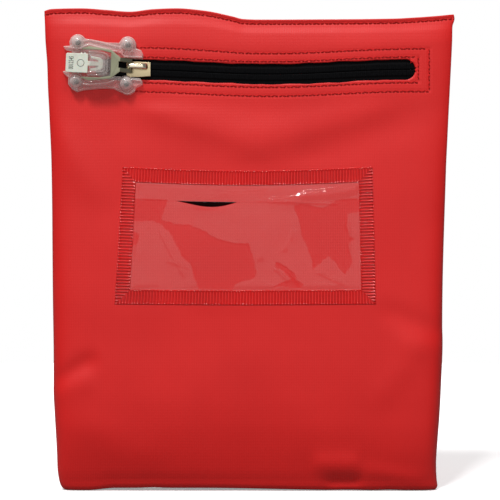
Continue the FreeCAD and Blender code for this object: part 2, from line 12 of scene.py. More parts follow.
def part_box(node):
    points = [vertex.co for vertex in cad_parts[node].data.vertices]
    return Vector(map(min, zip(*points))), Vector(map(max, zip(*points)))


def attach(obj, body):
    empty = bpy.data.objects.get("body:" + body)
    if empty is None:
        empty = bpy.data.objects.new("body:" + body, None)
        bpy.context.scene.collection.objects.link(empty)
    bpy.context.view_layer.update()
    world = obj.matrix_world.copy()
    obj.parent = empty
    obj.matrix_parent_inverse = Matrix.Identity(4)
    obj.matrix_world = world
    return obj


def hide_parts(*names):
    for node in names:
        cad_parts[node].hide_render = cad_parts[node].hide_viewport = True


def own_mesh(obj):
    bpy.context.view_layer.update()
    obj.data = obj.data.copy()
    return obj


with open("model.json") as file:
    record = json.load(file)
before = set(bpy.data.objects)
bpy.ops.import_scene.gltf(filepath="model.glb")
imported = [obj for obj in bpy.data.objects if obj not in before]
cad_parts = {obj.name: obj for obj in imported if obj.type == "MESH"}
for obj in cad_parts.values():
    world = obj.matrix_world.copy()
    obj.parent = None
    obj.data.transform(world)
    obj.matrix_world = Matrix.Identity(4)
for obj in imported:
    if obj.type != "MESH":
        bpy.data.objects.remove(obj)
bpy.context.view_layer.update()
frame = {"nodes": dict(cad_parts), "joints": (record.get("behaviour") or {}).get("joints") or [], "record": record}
MM = 0.001

# ---------------------------------------------------------------- places, read from the frame
inner_low, inner_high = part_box("zip_stitch_inner")
outer_low, outer_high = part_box("zip_stitch_outer")
border_low, border_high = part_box("window_weld_border")
stop_low, stop_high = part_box("zip_end_stop")
TOP_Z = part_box("front_panel")[1].z
FRONT_Y = inner_high.y
ZIP_Z = (stop_low.z + stop_high.z) / 2
SLIT_END = stop_high.x
swing = next(j for j in frame["joints"] if j["name"] == "puller_swing")
PIVOT = Vector(swing["pos_m"])
TILT = math.atan2(swing["axis"][0], swing["axis"][2])

STITCH_BOXES = [(inner_low, inner_high), (outer_low, outer_high)]
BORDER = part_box("window_film")[0].z - border_low.z
WIDE = border_high.x - border_low.x
TALL = border_high.z - border_low.z

# Thicknesses, radii and pitches of the cloth, stitches and zip.
CLOTH = 0.9 * MM
BASE_RADIUS = 5 * MM
SLIT_START = -92 * MM
SLIT_HALF = 6.7 * MM
SEAM_BAND = 2.6 * MM
THREAD_HALF = 0.25 * MM
COIL_PITCH = 1.25 * MM
STITCH_RADIUS = 0.42 * MM
STITCH_LEAN = 0.24
RIB_PITCH = 1.95 * MM
# Depth of the zip's sag, and the middle and half length of the stretch that sags.
SAG = 3.0 * MM
SAG_MIDDLE = 14 * MM
SAG_HALF = 94 * MM

# Outline of the bag, as height and half width to each side, and the top edge, in millimetres.
LEFT_EDGE = [
    (0, 119.6), (2, 121.8), (7, 123.5), (14, 124.4), (25, 124.7), (49, 126), (66, 126.8), (82, 126.8),
    (124, 127.4), (212, 128.6), (245, 130.2), (262, 131.2), (277, 131.7), (294, 133), (316, 134),
]
RIGHT_EDGE = [
    (0, 122.4), (2.5, 123.8), (7, 123.3), (17, 122.8), (33, 123.7), (49, 124.9), (66, 125.8), (98, 127),
    (106, 126.8), (209, 129.6), (228, 130.6), (244, 131.5), (261, 132.4), (294, 134), (303, 134.3),
    (308, 135.6), (316, 134),
]
TOP_EDGE = [
    (-134, 312.2), (-128, 313.6), (-109, 314), (-93, 313), (-77, 311.8), (-62, 313.4), (-47, 313.9),
    (-28, 312.3), (-10, 308.6), (-3, 306.9), (6, 306.6), (66, 306.8), (96, 307.2), (105, 307.7),
    (114, 308.3), (124, 309.1), (134, 310.2),
]
FRONT_DEPTH = [
    (0, 5.8), (5, 7.6), (15, 10.4), (30, 13.0), (45, 14.3), (60, 14.7), (75, 14.4), (90, 13.8),
    (150, 10.5), (215, 7.3), (252, 5.3), (291, 5.0), (300, 3.9), (308.2, 1.6), (311, 2.0),
]
BACK_DEPTH = [
    (0, 9.8), (12, 12.2), (30, 13.6), (90, 15.0), (150, 13.2), (215, 9.8), (252, 5.6), (291, 5.0),
    (300, 3.9), (308.2, 1.6), (311, 2.0),
]

# Folds of the cloth, in millimetres: start and end across and up, width, height outwards, and skew.
FRONT_FOLDS = [
    ((-70, 250), (5, 226), 14, 1.5, 0.4), ((0, 224), (90, 250), 15, 1.3, 0.4),
    ((30, 215), (110, 242), 12, -0.7), ((-122, 235), (-96, 190), 10, 0.9),
    ((-128, 70), (-100, 86), 6.0, -1.5), ((-128, 65), (-100, 72), 8.0, 0.7),
    ((129, 100), (88, 118), 8.0, -1.0), ((128, 93), (96, 98), 9.0, 0.7),
    ((84, 60), (112, 98), 9.0, 0.7), ((-110, 45), (-60, 22), 14.0, 0.8),
    ((44, 18), (70, 18), 7.0, 1.5), ((52, 6), (72, 6), 4.5, -1.5), ((74, 15), (112, 7), 6.0, 0.8),
]
BACK_FOLDS = [
    ((-100, 250), (20, 222), 14, 1.6, 0.5), ((20, 222), (110, 256), 13, 1.5, 0.5),
    ((-118, 150), (-70, 128), 10, -1.2), ((60, 90), (120, 70), 9, -1.3), ((-60, 60), (40, 40), 16, 0.9),
]


def smooth_curve(points):
    """A curve through listed points that never overshoots them (monotone cubic)."""
    xs = np.array([p[0] for p in points], float) * MM
    ys = np.array([p[1] for p in points], float) * MM
    steps = np.diff(xs)
    slopes = np.diff(ys) / steps
    tangents = np.zeros(len(xs))
    tangents[0], tangents[-1] = slopes[0], slopes[-1]
    same = slopes[:-1] * slopes[1:] > 0
    middle = 2 * slopes[:-1] * slopes[1:] / np.where(same, slopes[:-1] + slopes[1:], 1)
    tangents[1:-1] = np.where(same, middle, 0)

    def value(x):
        x = np.clip(np.asarray(x, float), xs[0], xs[-1])
        k = np.clip(np.searchsorted(xs, x) - 1, 0, len(steps) - 1)
        t = (x - xs[k]) / steps[k]
        h = steps[k]
        return (
            (1 + 2 * t) * (1 - t) ** 2 * ys[k]
            + t * (1 - t) ** 2 * h * tangents[k]
            + t * t * (3 - 2 * t) * ys[k + 1]
            + t * t * (t - 1) * h * tangents[k + 1]
        )

    return value


left_edge = smooth_curve(LEFT_EDGE)
right_edge = smooth_curve(RIGHT_EDGE)
top_edge = smooth_curve(TOP_EDGE)
front_depth = smooth_curve(FRONT_DEPTH)
back_depth = smooth_curve(BACK_DEPTH)


def ease(value, low, high):
    """0 below low, 1 above high and a smooth step between."""
    t = np.clip((np.asarray(value, float) - low) / (high - low), 0, 1)
    return t * t * (3 - 2 * t)


def waves(x, z, pitch, seed):
    """Slow, even unevenness of cloth, about -1 to 1: a few crossing waves of one rough pitch."""
    chance = np.random.default_rng(seed)
    total = 0
    for _ in range(5):
        heading = chance.uniform(0, math.pi)
        length = pitch * chance.uniform(0.7, 1.5)
        phase = chance.uniform(0, 2 * math.pi)
        total = total + np.sin(2 * math.pi * (x * math.cos(heading) + z * math.sin(heading)) / length + phase)
    return total / 3


def ridge(x, z, start, end, width, height, skew=0.0):
    """A soft fold along a line, fading at both ends. Skew makes the side below the line steeper."""
    (x0, z0), (x1, z1) = [(a * MM, b * MM) for a, b in (start, end)]
    run = math.hypot(x1 - x0, z1 - z0)
    ux, uz = (x1 - x0) / run, (z1 - z0) / run
    along = ((x - x0) * ux + (z - z0) * uz) / run
    across = (-(x - x0) * uz + (z - z0) * ux) / (width * MM)
    lean = np.where(across * np.sign(ux) < 0, across * (1 + skew), across)
    ends = ease(along, -0.25, 0.2) * (1 - ease(along, 0.8, 1.25))
    return height * MM * ends * np.exp(-lean * lean)


def zip_dip(x):
    """How far the zip line sags between its ends."""
    t = np.clip((x - SAG_MIDDLE) / SAG_HALF, -1, 1)
    return -SAG * np.cos(t * math.pi / 2) ** 2


def lift(x, z):
    """How far a point of the flat pattern moves up or down: the zip's sag and the wavy top edge."""
    near_zip = ease(z, 0.228, 0.258) * (1 - ease(z, 0.286, 0.302))
    near_top = ease(z, 0.280, TOP_Z)
    return zip_dip(x) * near_zip + (top_edge(x) - TOP_Z) * near_top


def front_folds(x, z):
    """Folds of the front, outwards: none round the zip under the lock, and weaker ones at the window."""
    right_of_lock = ease(x, -0.062, -0.04)
    calm = 1 - ease(z, 0.245, 0.258) * (1 - ease(z, 0.300, 0.306)) * (1 - 0.55 * right_of_lock)
    window = ease(z, 0.112, 0.124) * (1 - ease(z, 0.206, 0.218)) * (1 - ease(np.abs(x), 0.078, 0.092))
    folds = 0.45 * MM * waves(x, z, 0.11, 3) + 0.16 * MM * waves(x, z, 0.045, 8)
    for fold in FRONT_FOLDS:
        folds = folds + ridge(x, z, *fold)
    return folds * calm * (1 - 0.6 * window)


def back_folds(x, z):
    """Folds of the back, outwards."""
    folds = 0.6 * MM * waves(x, z, 0.12, 21) + 0.2 * MM * waves(x, z, 0.05, 22)
    for fold in BACK_FOLDS:
        folds = folds + ridge(x, z, *fold)
    return folds * (1 - ease(z, 0.29, 0.304))


def side_share(s, z):
    """How much of its full depth the cloth has at s, from -1 to 1 across: 1 in the middle, 0 at a seam."""
    corner = 26 - 10 * ease(z, 0.02, 0.3)
    return np.sqrt(np.clip(1 - np.abs(s) ** corner, 0, 1))


def across(x, z):
    return np.where(x < 0, x / left_edge(z), x / right_edge(z))


def front_y(x, z):
    """The outer face of the front cloth."""
    deep = front_depth(z) + front_folds(x, z)
    return -deep * side_share(across(x, z), z)


def on_front(x, z, out=0.0):
    """A point on the front, given in the flat pattern, and a distance out from the cloth."""
    x, z = np.asarray(x, float), np.asarray(z, float)
    return np.stack([x, front_y(x, z) - out, z + lift(x, z)], axis=-1)


def lock_point(along, up, out):
    """A point of the lock, in millimetres: along and up from the pivot on its tilted axis, and out."""
    c, s = math.cos(TILT), math.sin(TILT)
    return Vector((
        PIVOT.x + (along * c + up * s) * MM,
        FRONT_Y - out * MM,
        PIVOT.z + (up * c - along * s) * MM,
    ))


# ---------------------------------------------------------------- mesh helpers
def add_object(name, data):
    made = bpy.data.objects.new(name, data)
    bpy.context.scene.collection.objects.link(made)
    return made


def new_piece(name, points, faces, material, smooth=True):
    corners = [tuple(p) for p in np.asarray(points, float)]
    mesh = bpy.data.meshes.new(name)
    mesh.from_pydata(corners, [], [tuple(int(i) for i in f) for f in faces])
    mesh.validate()
    mesh.update()
    mesh.polygons.foreach_set("use_smooth", [smooth] * len(mesh.polygons))
    mesh.materials.append(material)
    return add_object(name, mesh)


def grid(rows, columns, start=0, closed=False):
    """Faces of a grid of points stored row by row. Closed joins the last column to the first."""
    faces = []
    last = columns if closed else columns - 1
    for r in range(rows - 1):
        for c in range(last):
            n = (c + 1) % columns
            a, b = start + r * columns, start + (r + 1) * columns
            faces.append((a + c, a + n, b + n, b + c))
    return faces


def finish_piece(piece, body, slot, *nodes):
    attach(piece, body)
    if nodes:
        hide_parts(*nodes)


def applied(piece):
    """The piece with its modifiers turned into mesh."""
    graph = bpy.context.evaluated_depsgraph_get()
    mesh = bpy.data.meshes.new_from_object(piece.evaluated_get(graph))
    piece.modifiers.clear()
    old = piece.data
    piece.data = mesh
    bpy.data.meshes.remove(old)


def moulded(name, solids, voxel, material):
    """One smooth moulding made from overlapping closed solids, each (points, faces)."""
    points, faces = [], []
    for solid_points, solid_faces in solids:
        start = len(points)
        points.extend(solid_points)
        faces.extend([tuple(start + i for i in f) for f in solid_faces])
    piece = new_piece(name, points, faces, material)
    merge = piece.modifiers.new("merge", "REMESH")
    merge.mode = "VOXEL"
    merge.voxel_size = voxel * MM
    merge.use_smooth_shade = True
    relax = piece.modifiers.new("relax", "SMOOTH")
    relax.factor = 0.5
    relax.iterations = 2
    applied(piece)
    piece.data.polygons.foreach_set("use_smooth", [True] * len(piece.data.polygons))
    return piece


def prism(outline, low, high):
    """A plate of the lock with a closed outline, from a low to a high distance out."""
    count = len(outline)
    area = sum(a[0] * b[1] - b[0] * a[1] for a, b in zip(outline, outline[1:] + outline[:1]))
    ordered = outline if area > 0 else outline[::-1]
    points = [lock_point(u, v, out) for out in (low, high) for u, v in ordered]
    faces = [tuple(range(count))[::-1], tuple(range(count, 2 * count))]
    faces += [(k, (k + 1) % count, count + (k + 1) % count, count + k) for k in range(count)]
    return points, faces


def round_outline(u, v, radius, count=28):
    return [
        (u + radius * math.cos(2 * math.pi * k / count), v + radius * math.sin(2 * math.pi * k / count))
        for k in range(count)
    ]


def turned(u, v, profile, count=32):
    """A closed turned solid of the lock: a profile of (radius, out) from the axis round to the axis."""
    points, faces = [], []
    for radius, out in profile:
        points += [lock_point(a, b, out) for a, b in round_outline(u, v, max(radius, 0.01), count)]
    rows = len(profile)
    faces += grid(rows, count, closed=True)
    faces.append(tuple(range(count))[::-1])
    faces.append(tuple(range((rows - 1) * count, rows * count)))
    return points, faces


def wall(path, width, low, high):
    """A rib of one width along a path, with round ends and bends."""
    solids = []
    for (u0, v0), (u1, v1) in zip(path, path[1:]):
        run = math.hypot(u1 - u0, v1 - v0)
        nu, nv = -(v1 - v0) / run * width / 2, (u1 - u0) / run * width / 2
        corners = [(u0 + nu, v0 + nv), (u1 + nu, v1 + nv), (u1 - nu, v1 - nv), (u0 - nu, v0 - nv)]
        solids.append(prism(corners, low, high))
    solids += [prism(round_outline(u, v, width / 2, 16), low, high) for u, v in path]
    return solids


def bevelled(name, node, width, material):
    """A copy of a CAD node with its edges rounded."""
    mesh = frame["nodes"][node].data.copy()
    mesh.materials.clear()
    mesh.materials.append(material)
    work = bmesh.new()
    work.from_mesh(mesh)
    bmesh.ops.remove_doubles(work, verts=work.verts, dist=0.002 * MM)
    bmesh.ops.dissolve_limit(work, angle_limit=math.radians(1.5), verts=work.verts, edges=work.edges)
    work.to_mesh(mesh)
    work.free()
    piece = add_object(name, mesh)
    edge = piece.modifiers.new("edge", "BEVEL")
    edge.width = width * MM
    edge.segments = 3
    edge.limit_method = "ANGLE"
    edge.angle_limit = math.radians(30)
    applied(piece)
    piece.data.polygons.foreach_set("use_smooth", [True] * len(piece.data.polygons))
    piece.data.set_sharp_from_angle(angle=math.radians(40))
    return piece


# ---------------------------------------------------------------- materials
class Nodes:
    """A material and short ways to add nodes to it."""

    def __init__(self, name):
        self.material = bpy.data.materials.new(name)
        self.material.use_nodes = True
        self.tree = self.material.node_tree
        self.shader = self.tree.nodes["Principled BSDF"]
        self.place = self.add("ShaderNodeTexCoord").outputs["Object"]

    def add(self, kind, **values):
        node = self.tree.nodes.new(kind)
        for key, value in values.items():
            setattr(node, key, value)
        return node

    def link(self, source, target):
        self.tree.links.new(source, target)

    def set(self, **values):
        for key, value in values.items():
            self.shader.inputs[key.replace("_", " ")].default_value = value

    def noise(self, scale, detail=3.0, stretch=(1, 1, 1)):
        mapping = self.add("ShaderNodeMapping")
        mapping.inputs["Scale"].default_value = stretch
        self.link(self.place, mapping.inputs["Vector"])
        node = self.add("ShaderNodeTexNoise")
        node.inputs["Scale"].default_value = scale
        node.inputs["Detail"].default_value = detail
        self.link(mapping.outputs[0], node.inputs["Vector"])
        return node.outputs["Fac"]

    def bands(self, pitch, axis):
        """Even bands across an axis, 0 to 1, one per pitch in millimetres."""
        node = self.add("ShaderNodeTexWave", wave_type="BANDS", bands_direction=axis)
        node.inputs["Scale"].default_value = 2 * math.pi / (20 * pitch * MM)
        node.inputs["Distortion"].default_value = 0
        self.link(self.place, node.inputs["Vector"])
        return node.outputs["Fac"]

    def times(self, a, b):
        node = self.add("ShaderNodeMath", operation="MULTIPLY")
        self.link(a, node.inputs[0])
        self.link(b, node.inputs[1])
        return node.outputs[0]

    def colour(self, source, first, second, end=0.7):
        """Base colour between two shades: the first below 0.3 of the source, the second above its end."""
        node = self.add("ShaderNodeValToRGB")
        for element, place, shade in zip(node.color_ramp.elements, (0.3, end), (first, second)):
            element.position = place
            element.color = (*shade, 1)
        self.link(source, node.inputs["Fac"])
        self.link(node.outputs["Color"], self.shader.inputs["Base Color"])

    def rough(self, source, low, high):
        self.spread(source, low, high, self.shader.inputs["Roughness"])

    def spread(self, source, low, high, target):
        node = self.add("ShaderNodeMapRange")
        node.inputs["To Min"].default_value = low
        node.inputs["To Max"].default_value = high
        self.link(source, node.inputs["Value"])
        self.link(node.outputs["Result"], target)

    def bump(self, source, depth, strength=1.0, before=None):
        node = self.add("ShaderNodeBump")
        node.inputs["Distance"].default_value = depth * MM
        node.inputs["Strength"].default_value = strength
        self.link(source, node.inputs["Height"])
        if before is not None:
            self.link(before, node.inputs["Normal"])
        self.link(node.outputs[0], self.shader.inputs["Normal"])
        return node.outputs[0]


def red_cloth():
    """PVC-coated cloth: satin, with the weave showing faintly through the coat."""
    m = Nodes("red_cloth")
    weave = m.times(m.bands(1.15, "X"), m.bands(1.0, "Z"))
    cloudy = m.noise(18, 4)
    m.colour(cloudy, (0.680, 0.0112, 0.0100), (0.735, 0.0142, 0.0124))
    m.rough(m.noise(60, 3), 0.44, 0.56)
    first = m.bump(m.noise(900, 2), 0.03, 0.5)
    m.bump(weave, 0.06, 0.9, first)
    m.set(Specular_IOR_Level=0.33)
    return m.material


def thread(name, colour):
    m = Nodes(name)
    m.colour(m.noise(700, 2), colour, tuple(c * 1.7 for c in colour), 0.75)
    m.bump(m.noise(2500, 2, (1, 1, 3)), 0.05, 0.8)
    m.set(Roughness=0.62, Specular_IOR_Level=0.15)
    return m.material


def zip_black():
    m = Nodes("zip_black")
    m.colour(m.noise(1200, 2), (0.0012, 0.0012, 0.0014), (0.004, 0.004, 0.005), 0.8)
    m.bump(m.bands(0.55, "Z"), 0.05, 0.8, m.bump(m.bands(0.5, "X"), 0.05, 0.8))
    m.set(Roughness=0.6, Specular_IOR_Level=0.04)
    return m.material


def coil_black():
    m = Nodes("coil_black")
    m.colour(m.noise(400, 2), (0.004, 0.004, 0.005), (0.009, 0.009, 0.010), 0.8)
    m.rough(m.noise(300, 2), 0.35, 0.5)
    return m.material


def metal(name, colour, low, high, scratch=(1, 1, 1)):
    m = Nodes(name)
    m.colour(m.noise(160, 4), colour, tuple(min(1, c * 1.1) for c in colour))
    m.rough(m.noise(500, 4, scratch), low, high)
    m.bump(m.noise(1400, 2, scratch), 0.01, 0.5)
    m.set(Metallic=1.0)
    return m.material


def clear_plastic(name, middle, rim_share):
    """Moulded clear plastic, a little cloudy: its cloudy white is tinted pink, painted red light from the cloth
    behind it, and it whitens along its edges.
    """
    m = Nodes(name)
    m.rough(m.noise(250, 3), 0.06, 0.16)
    # Painted light: the pink tint of the cloudy white stands for red light from the cloth.
    m.colour(m.noise(90, 2), (0.88, 0.76, 0.73), (0.95, 0.85, 0.81))
    m.bump(m.noise(500, 2), 0.02, 0.5)
    rim = m.add("ShaderNodeLayerWeight")
    rim.inputs["Blend"].default_value = 0.45
    m.spread(rim.outputs["Facing"], middle, rim_share, m.shader.inputs["Alpha"])
    m.set(Specular_IOR_Level=0.9, Coat_Weight=1.0, Coat_Roughness=0.04)
    return m.material


def seal_white():
    m = Nodes("seal_white")
    m.colour(m.noise(300, 3), (0.66, 0.68, 0.58), (0.74, 0.76, 0.66))
    m.rough(m.noise(400, 2), 0.36, 0.5)
    m.bump(m.noise(900, 2), 0.015, 0.5)
    m.set(Subsurface_Weight=0.15, Subsurface_Scale=0.002)
    return m.material


def ink():
    m = Nodes("print_ink")
    m.colour(m.noise(2000, 2), (0.02, 0.02, 0.02), (0.06, 0.06, 0.055), 0.8)
    m.set(Roughness=0.5)
    return m.material


# Painted shade: near-black colour of the sheet behind the card slit, where the pocket's inside lies in shadow.
def painted_slit_shade():
    m = Nodes("painted_slit_shade")
    m.colour(m.noise(90, 3), (0.004, 0.001, 0.001), (0.014, 0.002, 0.002), 0.8)
    m.set(Roughness=0.8, Specular_IOR_Level=0.02)
    return m.material


def weld_border():
    """Clear film welded into the cloth: a deeper red, glossy and crisp on its ribs."""
    m = Nodes("weld_border")
    m.colour(m.noise(40, 3), (0.50, 0.0035, 0.0032), (0.66, 0.0060, 0.0055))
    m.rough(m.noise(300, 2), 0.10, 0.22)
    m.bump(m.noise(800, 2), 0.02, 0.6)
    m.set(Specular_IOR_Level=0.5)
    return m.material


def window_film():
    """Thin clear film: it mirrors lamps, and where it stands off the cloth a pale pink veil is mixed in, painted
    reflection standing in for the film's extra reflections over the gap.
    """
    m = Nodes("window_film")
    loose = m.add("ShaderNodeAttribute", attribute_name="standoff").outputs["Fac"]
    # Painted reflection: the pale pink veil colour, mixed in by how far the film stands off the cloth.
    m.colour(m.noise(120, 2), (0.88, 0.60, 0.57), (0.95, 0.68, 0.64))
    m.set(Roughness=0.6, Specular_IOR_Level=0.0)
    clear = m.add("ShaderNodeBsdfTransparent")
    gloss = m.add("ShaderNodeBsdfGlossy")
    m.spread(m.noise(200, 2), 0.05, 0.12, gloss.inputs["Roughness"])
    edge = m.add("ShaderNodeLayerWeight")
    edge.inputs["Blend"].default_value = 0.12
    reflection_veil = m.add("ShaderNodeMixShader")
    shine = m.add("ShaderNodeMixShader")
    m.spread(loose, 0.0, 0.065, reflection_veil.inputs[0])
    m.link(clear.outputs[0], reflection_veil.inputs[1])
    m.link(m.shader.outputs[0], reflection_veil.inputs[2])
    m.spread(edge.outputs["Facing"], 0.020, 0.45, shine.inputs[0])
    m.link(reflection_veil.outputs[0], shine.inputs[1])
    m.link(gloss.outputs[0], shine.inputs[2])
    m.link(shine.outputs[0], m.tree.nodes["Material Output"].inputs["Surface"])
    return m.material


MATERIALS = {
    "red_cloth": red_cloth(),
    "red_thread": thread("red_thread", (0.36, 0.007, 0.007)),
    "seam_tape": thread("seam_tape", (0.35, 0.012, 0.012)),
    "zip_tape": zip_black(),
    "zip_coil": coil_black(),
    "zip_stop": metal("zip_stop", (0.45, 0.42, 0.36), 0.25, 0.4),
    "slider_nickel": metal("slider_nickel", (0.80, 0.72, 0.55), 0.12, 0.26),
    # Painted shade: a darker, browner copy of the slider's nickel for its casting, which lies in shade under the
    # arch.
    "slider_plate": metal("slider_plate", (0.58, 0.47, 0.29), 0.25, 0.4),
    "puller_steel": metal("puller_steel", (0.29, 0.29, 0.20), 0.34, 0.50, (1, 1, 6)),
    "clear_plastic": clear_plastic("clear_plastic", 0.27, 0.86),
    "rivet_steel": metal("rivet_steel", (0.035, 0.035, 0.035), 0.35, 0.50),
    "seal_white": seal_white(),
    "clear_film": window_film(),
    "weld_border": weld_border(),
    "ink": ink(),
    "painted_slit_shade": painted_slit_shade(),
    "keeper_plastic": clear_plastic("keeper_plastic", 0.10, 0.85),
    "cap_plastic": clear_plastic("cap_plastic", 0.20, 0.86),
}


# ---------------------------------------------------------------- cloth
def cloth_rows():
    """Heights of the cloth's rows in the flat pattern, closer together at the seam, stitches and slit."""
    slit = [ZIP_Z - SLIT_HALF, ZIP_Z + SLIT_HALF]
    marks = [outer_low.z, inner_low.z, *slit, inner_high.z, outer_high.z, TOP_Z - SEAM_BAND, TOP_Z]
    rows = list(np.arange(6 * MM, outer_low.z - 2.8 * MM, 1.7 * MM))
    for low, high in zip([rows[-1], *marks[:-1]], marks):
        count = max(2, round((high - low) / (0.8 * MM)))
        rows += list(np.linspace(low, high, count + 1)[1:])
    return np.array(rows)


def cloth_columns():
    """Places across the cloth, -1 to 1, closer together at the sides."""
    t = np.linspace(-1, 1, 221)
    return np.sign(t) * (1 - (1 - np.abs(t)) ** 1.6)


def cloth_grid(depth, folds, sign):
    """Points of one cloth: from the bottom seam across the base, round its edge and up to the top."""
    s = cloth_columns()
    flat_base = depth(BASE_RADIUS) - BASE_RADIUS
    rows = [(share * flat_base, 0.0, 0.0) for share in np.linspace(0, 1, 7)[:-1]]
    for turn in np.linspace(0, math.pi / 2, 7)[:-1]:
        out, up = math.sin(turn), 1 - math.cos(turn)
        rows.append((flat_base + BASE_RADIUS * out, BASE_RADIUS * up, out))
    rows += [(None, z, 1.0) for z in cloth_rows()]
    grid_points = []
    for deep, z, folded in rows:
        flat_z = np.full_like(s, z)
        x = np.where(s < 0, s * left_edge(flat_z), s * right_edge(flat_z))
        full = depth(flat_z) if deep is None else np.full_like(s, deep)
        full = full + folds(x, flat_z) * folded
        y = sign * full * side_share(s, flat_z)
        pinch = 0.7 * MM * np.exp(-((y / (1.2 * MM)) ** 2)) * ease(z, 4 * MM, 12 * MM)
        x = x - np.sign(s) * pinch
        z_final = flat_z + lift(x, flat_z) + bottom_gaps(x) * (1 - ease(z, 3 * MM, 16 * MM))
        grid_points.append(np.stack([x, y, z_final], axis=-1))
    return np.array(grid_points), np.array([r[1] for r in rows])


def bottom_gaps(x):
    """How far the bottom edge stands off the floor along the bag."""
    total = 1.5 * MM * ease(x, -0.105, -0.086) * (1 - ease(x, -0.03, 0.07))
    for centre, width, height in ((-62, 7, 0.3), (66, 10, 0.3), (92, 7, 0.3)):
        total = total + height * MM * np.exp(-(((x - centre * MM) / (width * MM)) ** 2))
    return total


def groove(offset, width, depth):
    """How deep a soft groove is at an offset from its line. Its width and depth are in millimetres."""
    return depth * MM * np.exp(-((offset / (width * MM)) ** 2))


def top_groove(heights):
    """How far the cloth sinks under the top edge's stitches."""
    return groove(heights - (TOP_Z - SEAM_BAND), 0.8, 0.45)[:, None]


def stitch_groove(points, heights):
    """Sinks the front under each line of stitches round the zip and along the top."""
    x = points[:, :, 0]
    for low, high in STITCH_BOXES:
        right = high.x
        for z_line in (low.z + THREAD_HALF, high.z - THREAD_HALF):
            sink = groove(heights - z_line, 0.9, 0.34)[:, None]
            scallop = 0.75 + 0.25 * np.sin(2 * math.pi * x / (4.6 * MM))
            points[:, :, 1] += sink * scallop * (x < right + 1 * MM) * (x > low.x - 2 * MM)
        inside = ((heights > low.z) & (heights < high.z))[:, None]
        points[:, :, 1] += groove(x - right + THREAD_HALF, 0.9, 0.34) * inside
    points[:, :, 1] += top_groove(heights)


def slit_faces(points, heights, faces, columns):
    """Faces of the front without those inside the slit, whose edge is moved onto its outline."""
    centre = SLIT_END - SLIT_HALF
    flat = points.reshape(-1, 3)
    z_flat = np.repeat(heights, columns)
    x = flat[:, 0]
    half = SLIT_HALF + 0.28 * MM * waves(x, 0, 0.017, 5) + 0.12 * MM * waves(x, 0, 0.006, 6)
    beyond = np.maximum(x - centre, 0)
    before = np.maximum(SLIT_START - x, 0)
    away = np.sqrt(beyond**2 + before**2 + (z_flat - ZIP_Z) ** 2)
    inside = away < SLIT_HALF - 0.01 * MM
    kept = [f for f in faces if sum(inside[list(f)]) < 2]
    edge = np.abs(away - SLIT_HALF) < 0.9 * MM
    used = np.zeros(len(flat), bool)
    for f in kept:
        used[list(f)] = True
    move = edge & used & (away > 1e-6)
    share = np.where(move, half / np.where(away > 1e-6, away, 1), 1)
    new_x = np.where(x > centre, centre + beyond * share, x)
    flat[:, 2] += np.where(move, (z_flat - ZIP_Z) * (share - 1), 0)
    flat[:, 0] = np.where(move, new_x, flat[:, 0])
    return flat, kept


def thicken(piece, thickness, offset):
    solid = piece.modifiers.new("thickness", "SOLIDIFY")
    solid.thickness = thickness
    solid.offset = offset
    solid.use_even_offset = True


def make_front_cloth():
    points, heights = cloth_grid(front_depth, front_folds, -1)
    stitch_groove(points, heights)
    rows, columns = points.shape[:2]
    flat, faces = slit_faces(points, heights, grid(rows, columns), columns)
    piece = new_piece("front_cloth", flat, faces, MATERIALS["red_cloth"])
    work = bmesh.new()
    work.from_mesh(piece.data)
    bmesh.ops.delete(work, geom=[v for v in work.verts if not v.link_faces], context="VERTS")
    work.to_mesh(piece.data)
    work.free()
    thicken(piece, CLOTH, -1)
    finish_piece(piece, "bag", "red_cloth", "front_panel")


def make_back_cloth():
    points, heights = cloth_grid(back_depth, back_folds, 1)
    points[:, :, 1] -= top_groove(heights)
    rows, columns = points.shape[:2]
    faces = [f[::-1] for f in grid(rows, columns)]
    piece = new_piece("back_cloth", points.reshape(-1, 3), faces, MATERIALS["red_cloth"])
    thicken(piece, CLOTH, -1)
    finish_piece(piece, "bag", "red_cloth", "back_panel")


def make_top_tape():
    """The tape folded between the two cloths along the top, just below their wavy edge."""
    low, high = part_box("top_seam_tape")
    x = np.linspace(low.x, high.x, 160)
    points = []
    for drop in (8.0, 6.0, 4.0, 2.4, 1.4):
        flat_z = np.full_like(x, TOP_Z - drop * MM)
        points.append(np.stack([x, np.zeros_like(x), flat_z + lift(x, flat_z)], axis=-1))
    piece = new_piece("top_tape", np.concatenate(points), grid(5, len(x)), MATERIALS["seam_tape"])
    thicken(piece, 0.7 * MM, 0)
    finish_piece(piece, "bag", "seam_tape", "top_seam_tape")


# ---------------------------------------------------------------- stitches
def stitch_line(name, corners, place, pitch, *nodes):
    """A row of raised stitches along a line of the flat pattern, swaying a little from side to side."""
    ring = 6
    section = [(math.cos(2 * math.pi * k / ring), math.sin(2 * math.pi * k / ring)) for k in range(ring)]
    points, faces = [], []
    chance = np.random.default_rng(len(name))
    side = 1
    for (x0, z0), (x1, z1) in zip(corners, corners[1:]):
        run = math.hypot(x1 - x0, z1 - z0)
        ux, uz = (x1 - x0) / run, (z1 - z0) / run
        for k in range(int(run / pitch)):
            side = -side
            middle = (k + 0.5) * pitch + chance.uniform(-0.1, 0.1) * pitch
            length = pitch * chance.uniform(0.86, 0.98)
            lean = side * STITCH_LEAN + chance.uniform(-0.05, 0.05)
            start = len(points)
            for step in np.linspace(-1, 1, 7):
                along = middle + step * length / 2
                off = lean * step * length / 2
                x, z = x0 + ux * along - uz * off, z0 + uz * along + ux * off
                bulge = math.sqrt(max(0, 1 - step * step))
                radius = STITCH_RADIUS * (0.35 + 0.65 * bulge)
                centre = Vector(place(x, z, (0.22 * bulge - 0.13) * MM))
                sideways = Vector((-uz, 0, ux)) * radius
                outwards = Vector((0, -radius, 0))
                points += [centre + sideways * c + outwards * sn for c, sn in section]
            faces += grid(7, ring, start, closed=True)
            faces.append(tuple(start + i for i in range(ring))[::-1])
            faces.append(tuple(start + 6 * ring + i for i in range(ring)))
    piece = new_piece(name, points, faces, MATERIALS["red_thread"])
    finish_piece(piece, "bag", "red_thread", *nodes)


